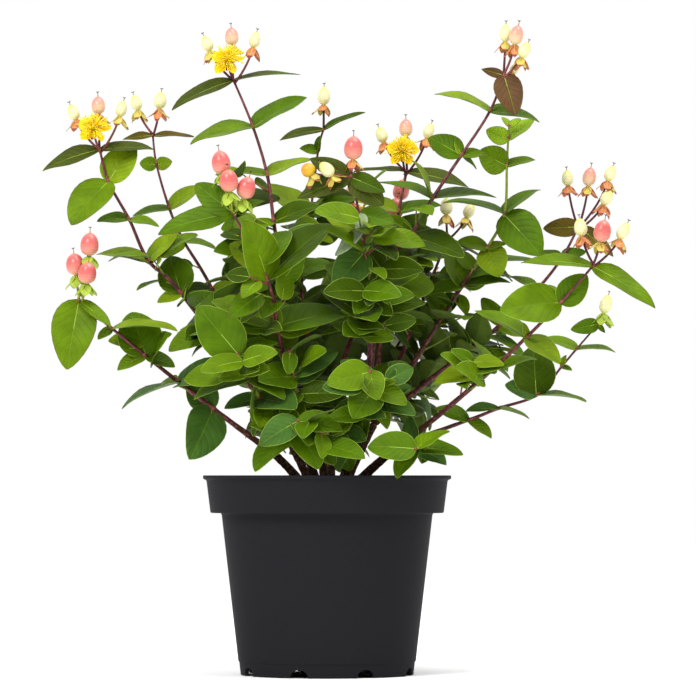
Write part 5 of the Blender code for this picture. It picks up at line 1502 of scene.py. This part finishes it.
def add_flower(sheaf, calyx, flower, rng):
    """A flower: five narrow petals that turn like a wheel, and a tuft of stamens round a pale ovary."""
    side, other = frame_on(flower.axis)
    centre = np.array(flower.centre)
    axis = np.array(flower.axis)
    for k in range(PETALS):
        angle = 2 * math.pi * (k + PETAL_TURN * rng.uniform(-1, 1)) / PETALS
        out = spoke(side, other, angle)
        swirl = spoke(other, -side, angle)
        along = out + flower.axis * rng.uniform(*PETAL_RISE)
        facing = flower.axis + swirl * rng.uniform(*PETAL_SWIRL)
        length = PETAL_RADIUS * rng.uniform(*PETAL_LENGTH)
        petal = Leaf(flower.centre + out * PETAL_BASE, along, facing, length, PETAL_WIDTH)
        add_blade(sheaf, petal, PETAL_TONES, rng, twist=PETAL_TWIST, wave=PETAL_WAVE, arch=PETAL_ARCH,
                  lean=PETAL_LEAN, blunt=PETAL_BLUNT)
        along = out * CALYX_OUT + swirl * CALYX_SWIRL - flower.axis * CALYX_BACK
        sepal = Leaf(flower.centre - flower.axis * CALYX_BELOW, along, flower.axis, *CALYX_SIZE)
        add_blade(calyx, sepal, CALYX_TONES, rng)
    for i in range(STAMENS):
        angle = 2 * math.pi * ((i % PETALS) + rng.gauss(0, STAMEN_SPREAD)) / PETALS
        tilt = math.radians(rng.uniform(*STAMEN_TILT))
        out = np.array(spoke(side, other, angle))
        length = rng.uniform(*STAMEN_LENGTH)
        ahead = STAMEN_RISE + length * math.cos(tilt) * STAMEN_FLAT
        end = centre + axis * ahead + out * length * math.sin(tilt)
        start = centre + axis * STAMEN_START[0] + out * STAMEN_START[1]
        middle = (start + end) / 2 + axis * STAMEN_BOW[0] + out * STAMEN_BOW[1]
        points, radii = curve_through(Twig([start, middle, end], STAMEN_RADII), STAMEN_POINTS)
        add_round(sheaf, points, radii, STAMEN_SIDES, spray("filament", rng))
        ahead = (end - middle) / np.linalg.norm(end - middle)
        slot = "anther_grey" if rng.random() < GREY_ANTHERS else "anther"
        add_round(sheaf, [end - ahead * ANTHER_ENDS[0], end, end + ahead * ANTHER_ENDS[1]], ANTHER_RADII,
                  ANTHER_SIDES, slot)
    add_round(sheaf, centre + axis * np.array(OVARY_HEIGHTS)[:, None], OVARY_RADII, OVARY_SIDES, "ovary")


def add_heads(sheaves, masses):
    for mass in masses:
        rng = random.Random(mass.name + " head")
        leafy = mass.name in LEAFY_CALYX
        for twig in mass.twigs:
            first, last = twig.points[0], twig.points[-1]
            outward = Vector((last.x - first.x, last.y - first.y, 0)) * STALK_BOW
            stalk = Twig([first, (first + last) / 2 + outward, last], STALK_RADII)
            points, radii = curve_through(stalk, STALK_RINGS)
            slot = "stalk_green" if leafy else rng.choice(("cane_light", "cane_dark", "cane_dark"))
            add_round(sheaves["twigs"], points, radii, STALK_SIDES, slot)
        for fruit in mass.fruits:
            add_fruit(sheaves["berries"], sheaves["calyces"], fruit, leafy, rng)
        for flower in mass.flowers:
            add_flower(sheaves["flowers"], sheaves["calyces"], flower, rng)


def add_foliage(sheaves, masses):
    """Every leaf, and the side shoots that carry the finer ones."""
    for mass in masses:
        rng = random.Random(mass.name + " blades")
        name = mass.name.removeprefix("foliage_")
        for leaf in mass.leaves:
            tones = leaf_tones(name, leaf, CANES[name], rng)
            add_blade(sheaves[region_of(mass)], leaf, tones, rng)
        for sprig in mass.sprigs:
            points, radii = curve_through(sprig, SPRIG_RINGS)
            slot = "cane_green" if rng.random() < GREEN_SPRIGS else "cane_light"
            add_round(sheaves["twigs"], points, radii, SPRIG_SIDES, slot)


def region_of(mass):
    """The piece that takes the leaves of a mass."""
    name = mass.name.removeprefix("foliage_")
    if not CANES[name].front:
        return "leaves_rear"
    x = CANES[name].tip[0]
    if x < REGION_EDGES[0]:
        return "leaves_left"
    return "leaves_middle" if x < REGION_EDGES[1] else "leaves_right"


def tint(red, green, blue):
    """A colour as the picture gives it, in the linear values that a shader takes."""
    shares = (red / 255, green / 255, blue / 255)
    return tuple(c / 12.92 if c <= 10 / 255 else ((c + 0.055) / 1.055) ** 2.4 for c in shares)


def finish(name, colour, roughness, grain, contrast, relief, specular, shine=0.0):
    """A material whose colour wanders about its middle tone, with a relief of the same grain."""
    material = bpy.data.materials.new(name)
    material.use_nodes = True
    nodes, links = material.node_tree.nodes, material.node_tree.links
    shader = nodes["Principled BSDF"]
    place = nodes.new("ShaderNodeTexCoord")
    cloud = nodes.new("ShaderNodeTexNoise")
    cloud.inputs["Scale"].default_value = grain
    cloud.inputs["Detail"].default_value = CLOUD_DETAIL
    links.new(place.outputs["Object"], cloud.inputs["Vector"])
    ramp = nodes.new("ShaderNodeValToRGB")
    for element, position, change in zip(ramp.color_ramp.elements, CLOUD_EDGES, (-contrast, contrast)):
        element.position = position
        element.color = (*(min(1.0, c * (1 + change)) for c in colour), 1)
    links.new(cloud.outputs["Fac"], ramp.inputs["Fac"])
    links.new(ramp.outputs["Color"], shader.inputs["Base Color"])
    bump = nodes.new("ShaderNodeBump")
    bump.inputs["Strength"].default_value = 1.0
    bump.inputs["Distance"].default_value = relief * MM
    links.new(cloud.outputs["Fac"], bump.inputs["Height"])
    links.new(bump.outputs["Normal"], shader.inputs["Normal"])
    shader.inputs["Roughness"].default_value = roughness
    shader.inputs["Specular IOR Level"].default_value = specular
    shader.inputs["Coat Weight"].default_value = shine
    shader.inputs["Coat Roughness"].default_value = COAT_ROUGHNESS
    material.diffuse_color = (*colour, 1)
    return material


def leaf_finish(name, colour, through):
    """A leaf's skin: a wandering green with side veins, through which some light falls."""
    material = finish(name, colour, *LEAF_SKIN)
    nodes, links = material.node_tree.nodes, material.node_tree.links
    shader = nodes["Principled BSDF"]
    sheet = nodes.new("ShaderNodeUVMap")
    sheet.uv_map = SHEET
    parts = nodes.new("ShaderNodeSeparateXYZ")
    links.new(sheet.outputs["UV"], parts.inputs[0])

    def step(operation, first, second):
        node = nodes.new("ShaderNodeMath")
        node.operation = operation
        for socket, value in zip(node.inputs, (first, second)):
            if isinstance(value, float):
                socket.default_value = value
            elif value is not None:
                links.new(value, socket)
        return node.outputs[0]

    outward = step("ABSOLUTE", parts.outputs[1], None)
    cloud = next(node for node in nodes if node.type == "TEX_NOISE")
    wander = step("MULTIPLY", cloud.outputs["Fac"], VEIN_WANDER)
    slanted = step("ADD", wander, step("MULTIPLY", outward, VEIN_SLANT))
    forward = step("SUBTRACT", parts.outputs[0], slanted)
    wave = step("SINE", step("MULTIPLY", forward, 2 * math.pi * VEINS), None)
    groove = step("POWER", step("ABSOLUTE", wave, None), VEIN_GROOVE)
    bump = nodes.new("ShaderNodeBump")
    bump.inputs["Distance"].default_value = VEIN_DEPTH * MM
    links.new(groove, bump.inputs["Height"])
    for link in list(shader.inputs["Normal"].links):
        links.new(link.from_socket, bump.inputs["Normal"])
    links.new(bump.outputs["Normal"], shader.inputs["Normal"])
    glow = nodes.new("ShaderNodeBsdfTranslucent")
    glow.inputs["Color"].default_value = (*through, 1)
    mix = nodes.new("ShaderNodeMixShader")
    mix.inputs["Fac"].default_value = GLOW_SHARE
    links.new(shader.outputs[0], mix.inputs[1])
    links.new(glow.outputs[0], mix.inputs[2])
    links.new(mix.outputs[0], nodes["Material Output"].inputs["Surface"])
    return material


def make_finishes():
    """Every finish by name."""
    made = {}
    for name, (colour, through) in LEAF_TONES.items():
        made[name] = leaf_finish(name, scaled(tint(*colour), LEAF_LIGHT), scaled(tint(*through), LEAF_LIGHT))
    for name, (colour, *skin) in FINISHES.items():
        made[name] = finish(name, tint(*colour), *skin)
    for kind, tones in FRUIT_TONES.items():
        for i in range(FRUIT_STEPS):
            share = i / (FRUIT_STEPS - 1) * (len(tones) - 1)
            low = min(int(share), len(tones) - 2)
            mixed = np.array(tones[low]) * (low + 1 - share) + np.array(tones[low + 1]) * (share - low)
            name = f"fruit_{kind}_{i}"
            made[name] = finish(name, scaled(tint(*mixed), FRUIT_LIGHT), *FRUIT_SKIN)
    return made


def scaled(colour, share):
    return tuple(c * share for c in colour)


def rounded(profile):
    """The profile with an arc in place of each corner that has a radius."""
    points = []
    for i, (radius, height, bevel) in enumerate(profile):
        here = np.array((radius, height))
        if not bevel:
            points.append(tuple(here))
            continue
        before = np.array(profile[i - 1][:2]) - here
        after = np.array(profile[i + 1][:2]) - here
        reach = min(bevel, CORNER_MOST * np.linalg.norm(before), CORNER_MOST * np.linalg.norm(after))
        start = here + before / np.linalg.norm(before) * reach
        end = here + after / np.linalg.norm(after) * reach
        for t in np.linspace(0, 1, CORNER_POINTS):
            points.append(tuple(bend(start, here, end, t)))
    return points


def round_points(radius, steps):
    """Points at a radius round the axis."""
    angles = [2 * math.pi * k / steps for k in range(steps)]
    return [(radius * math.cos(angle), radius * math.sin(angle)) for angle in angles]


def capped_faces(rings, steps):
    """Faces of a body whose points are one on the axis, ring after ring, and one on the axis."""
    faces = [(0, 1 + k, 1 + (k + 1) % steps) for k in range(steps)]
    faces += [tuple(i + 1 for i in face) for face in grid_faces(rings, steps, wrap=True)]
    last = 1 + (rings - 1) * steps
    return faces + [(last + (k + 1) % steps, last + k, last + steps) for k in range(steps)]


def turned(profile, steps):
    """Points and faces of a turned body whose profile starts and ends on the axis."""
    inner = profile[1:-1]
    points = [(0, 0, profile[0][1])]
    for radius, height in inner:
        points += [(x, y, height) for x, y in round_points(radius, steps)]
    points.append((0, 0, profile[-1][1]))
    return points, capped_faces(len(inner), steps)


def notch_cutter(collection):
    """All drainage notches of the pot's foot as one cutter."""
    work = bmesh.new()
    for i in range(NOTCHES):
        made = bmesh.ops.create_cone(work, cap_ends=True, segments=NOTCH_SIDES, radius1=1.0, radius2=1.0,
                                     depth=2.0)
        for vertex in made["verts"]:
            across = vertex.co.x * NOTCH_WIDTH / 2
            high = NOTCH_SHOULDER + vertex.co.y * (NOTCH_HEIGHT - NOTCH_SHOULDER)
            if vertex.co.y < LOWER_HALF:
                high = NOTCH_LOW
            vertex.co = Vector((across, vertex.co.z * NOTCH_REACH - BODY_FOOT_RADIUS, high)) * MM
        turn = Matrix.Rotation(math.radians(NOTCH_PHASE + 360 * i / NOTCHES), 3, "Z")
        bmesh.ops.rotate(work, verts=made["verts"], cent=(0, 0, 0), matrix=turn)
    bmesh.ops.recalc_face_normals(work, faces=work.faces)
    mesh = bpy.data.meshes.new("notches")
    work.to_mesh(mesh)
    work.free()
    cutter = bpy.data.objects.new("notches", mesh)
    collection.objects.link(cutter)
    return cutter


def body_radius(z):
    """The outer radius of the pot's body at a height."""
    return BODY_FOOT_RADIUS + (BODY_TOP_RADIUS - BODY_FOOT_RADIUS) * z / (POT_HEIGHT - COLLAR_DEPTH)


def make_pot(finishes):
    """The pot, turned from a profile with rounded edges, with its notches cut."""
    collar_foot = POT_HEIGHT - COLLAR_DEPTH
    floor_top = FLOOR_UNDERSIDE + FLOOR_THICKNESS
    foot_radius = BODY_FOOT_RADIUS - FOOT_RECESS
    profile = [  # radius, height, and how far the corner is rounded
        (0, floor_top, 0),
        (body_radius(floor_top) - WALL, floor_top, 2.5),
        (BODY_TOP_RADIUS - WALL, collar_foot + WALL, 2.0),
        (COLLAR_FOOT_RADIUS - WALL, collar_foot + WALL, 1.5),
        (COLLAR_TOP_RADIUS - WALL, POT_HEIGHT, 1.0),
        (LIP_RADIUS, POT_HEIGHT, 0.7),
        (LIP_RADIUS, POT_HEIGHT - LIP_DEPTH, 0.6),
        (COLLAR_TOP_RADIUS, POT_HEIGHT - LIP_DEPTH - LIP_UNDERCUT, 1.0),
        (COLLAR_FOOT_RADIUS, collar_foot, 1.1),
        (BODY_TOP_RADIUS + LEDGE_ROUND, collar_foot, 0.4),
        (BODY_TOP_RADIUS, collar_foot - LEDGE_FALL, 0.8),
        (body_radius(FOOT_BAND), FOOT_BAND, 0.5),
        (body_radius(FOOT_BAND) - FOOT_RECESS, FOOT_BAND - FOOT_STEP, 0.5),
        (foot_radius, 0, 0.8),
        (foot_radius - 2 * WALL, 0, 0.8),
        (foot_radius - 2 * WALL, FLOOR_UNDERSIDE, 1.0),
        (PAD_RADIUS + PAD_FLARE, FLOOR_UNDERSIDE, 0.8),
        (PAD_RADIUS, 0, 0.8),
        (0, 0, 0),
    ]
    points, faces = turned(rounded(profile), POT_SEGMENTS)
    mesh = bpy.data.meshes.new("pot_rough")
    mesh.from_pydata([tuple(c * MM for c in p) for p in points], [], faces)
    rough = bpy.data.objects.new("pot_rough", mesh)
    scene = bpy.context.scene.collection
    scene.objects.link(rough)
    work = bmesh.new()
    work.from_mesh(mesh)
    bmesh.ops.recalc_face_normals(work, faces=work.faces)
    work.to_mesh(mesh)
    work.free()
    cutter = notch_cutter(scene)
    cut = rough.modifiers.new("notches", "BOOLEAN")
    cut.operation = "DIFFERENCE"
    cut.object = cutter
    cut.solver = "EXACT"
    bpy.context.view_layer.update()
    graph = bpy.context.evaluated_depsgraph_get()
    shaped = bpy.data.meshes.new_from_object(rough.evaluated_get(graph))
    bpy.data.objects.remove(rough)
    bpy.data.objects.remove(cutter)
    shaped.polygons.foreach_set("use_smooth", [True] * len(shaped.polygons))
    shaped.set_sharp_from_angle(angle=math.radians(SHARP_ANGLE))
    shaped.materials.clear()
    shaped.materials.append(finishes["plastic"])
    pot = bpy.data.objects.new("pot_shell", shaped)
    scene.objects.link(pot)
    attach(pot, "root")
    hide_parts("pot")


def compost_height(x, y, edge):
    """The crumbly top of the compost, flat in the middle and falling to its edge."""
    out = math.hypot(x, y) / edge
    top = COMPOST_TOP + COMPOST_CROWN * (1 - out ** 2) - LUMPS_SUNK
    lumps = sum(high * noise.noise(Vector((x, y, 0)) / wide) for high, wide in LUMPS)
    return top + lumps * min(1.0, (1 - out) * EDGE_RISE + EDGE_LUMPS)


def make_compost(finishes):
    """The compost, a closed body clear of the pot, with crumbs strewn on it."""
    collar_foot = POT_HEIGHT - COLLAR_DEPTH
    floor_top = FLOOR_UNDERSIDE + FLOOR_THICKNESS
    gap = WALL + CLEAR + COMPOST_MARGIN
    ledge = collar_foot + WALL + CLEAR
    collar_slope = (COLLAR_TOP_RADIUS - COLLAR_FOOT_RADIUS) / COLLAR_DEPTH
    edge = COLLAR_FOOT_RADIUS - gap + collar_slope * (COMPOST_TOP - collar_foot)
    sheaf = Sheaf()
    points = [(0, 0, compost_height(0, 0, edge))]
    for r in range(1, COMPOST_RINGS + 1):
        radius = edge * (r / COMPOST_RINGS) ** RINGS_DENSER
        points += [(x, y, compost_height(x, y, edge)) for x, y in round_points(radius, COMPOST_SIDES)]
    below = ((COLLAR_FOOT_RADIUS - gap, ledge), (BODY_TOP_RADIUS - gap, ledge),
             (body_radius(floor_top + CLEAR) - gap, floor_top + CLEAR))
    for radius, height in below:
        points += [(x, y, height) for x, y in round_points(radius, COMPOST_SIDES)]
    points.append((0, 0, floor_top + CLEAR))
    faces = capped_faces(COMPOST_RINGS + len(below), COMPOST_SIDES)
    rng = random.Random("compost")
    sheaf.add(points, faces, [spray("compost", rng) for _ in faces])
    for _ in range(CRUMBS):
        radius = (edge - CRUMB_EDGE) * math.sqrt(rng.random())
        angle = rng.uniform(0, 2 * math.pi)
        x, y = radius * math.cos(angle), radius * math.sin(angle)
        size = rng.uniform(*CRUMB_SIZE)
        long = rng.choice(CRUMB_LONG)
        heading = Vector((rng.uniform(-1, 1), rng.uniform(-1, 1), rng.uniform(-CRUMB_TILT, CRUMB_TILT)))
        reach = heading.normalized() * size * long
        middle = Vector((x, y, compost_height(x, y, edge) + CRUMB_SEAT * size))
        waist = [size * rng.uniform(*spread) for spread in CRUMB_WAIST]
        radii = [size * CRUMB_ENDS[0], *waist, size * CRUMB_ENDS[1]]
        slim = CRUMB_SLIM if long > 1 else 1
        add_round(sheaf, [tuple(middle + reach * s) for s in CRUMB_STATIONS], [r / slim for r in radii],
                  CRUMB_SIDES, spray("crumb", rng))
    sheaf.piece("compost_fill", finishes, "compost", ["compost"], smooth=False)


def make_stage():
    """The pale floor, the white surroundings, the soft lights and the camera."""
    scene = bpy.context.scene
    mesh = bpy.data.meshes.new("floor")
    size = FLOOR_SIZE * MM
    corners = [(-size, -size, 0), (size, -size, 0), (size, size, 0), (-size, size, 0)]
    mesh.from_pydata(corners, [], [(0, 1, 2, 3)])
    mesh.materials.append(finish("floor", (1.0, 1.0, 1.0), *FLOOR_SKIN))
    floor = bpy.data.objects.new("floor", mesh)
    scene.collection.objects.link(floor)
    world = bpy.data.worlds.new("surroundings")
    scene.world = world
    world.use_nodes = True
    world.node_tree.nodes["Background"].inputs["Color"].default_value = (1, 1, 1, 1)
    world.node_tree.nodes["Background"].inputs["Strength"].default_value = WORLD_LIGHT
    for name, (place, aim, width, watts) in LIGHTS.items():
        data = bpy.data.lights.new(name, "AREA")
        data.size = width * MM
        data.energy = watts
        light = bpy.data.objects.new(name, data)
        light.location = Vector(place) * MM
        light.rotation_euler = (Vector(aim) - Vector(place)).to_track_quat("-Z", "Y").to_euler()
        scene.collection.objects.link(light)
    data = bpy.data.cameras.new("camera")
    data.lens = LENS
    data.sensor_width = SENSOR
    camera = bpy.data.objects.new("camera", data)
    camera.location = Vector(EYE) * MM
    camera.rotation_euler = (Vector(AIM) - Vector(EYE)).to_track_quat("-Z", "Y").to_euler()
    scene.collection.objects.link(camera)
    scene.camera = camera
    scene.view_settings.view_transform = "Standard"


def main():
    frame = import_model()
    make_stage()
    finishes = make_finishes()
    make_pot(finishes)
    make_compost(finishes)
    ground, routes, masses = plan_plant()
    grow_finer(ground, routes, masses)
    nodes = sorted(frame["nodes"])
    wood = Sheaf()
    add_stems(wood)
    for name, cane in CANES.items():
        add_cane(wood, name, cane, routes[name])
    woody_nodes = [node for node in nodes if node == "stool" or node.startswith("bough_")]
    wood.piece("stems_and_canes", finishes, "bark", woody_nodes)
    foliage_nodes = [node for node in nodes if node.startswith("foliage_")]
    regions = ("leaves_left", "leaves_middle", "leaves_right", "leaves_rear")
    sheaves = {name: Sheaf() for name in (*regions, "twigs", "berries", "calyces", "flowers")}
    add_foliage(sheaves, masses)
    add_heads(sheaves, masses)
    for name, sheaf in sheaves.items():
        stands_for = foliage_nodes
        if name in regions:
            stands_for = [mass.name for mass in masses if region_of(mass) == name]
        sheaf.piece(name, finishes, "foliage", stands_for)


main()
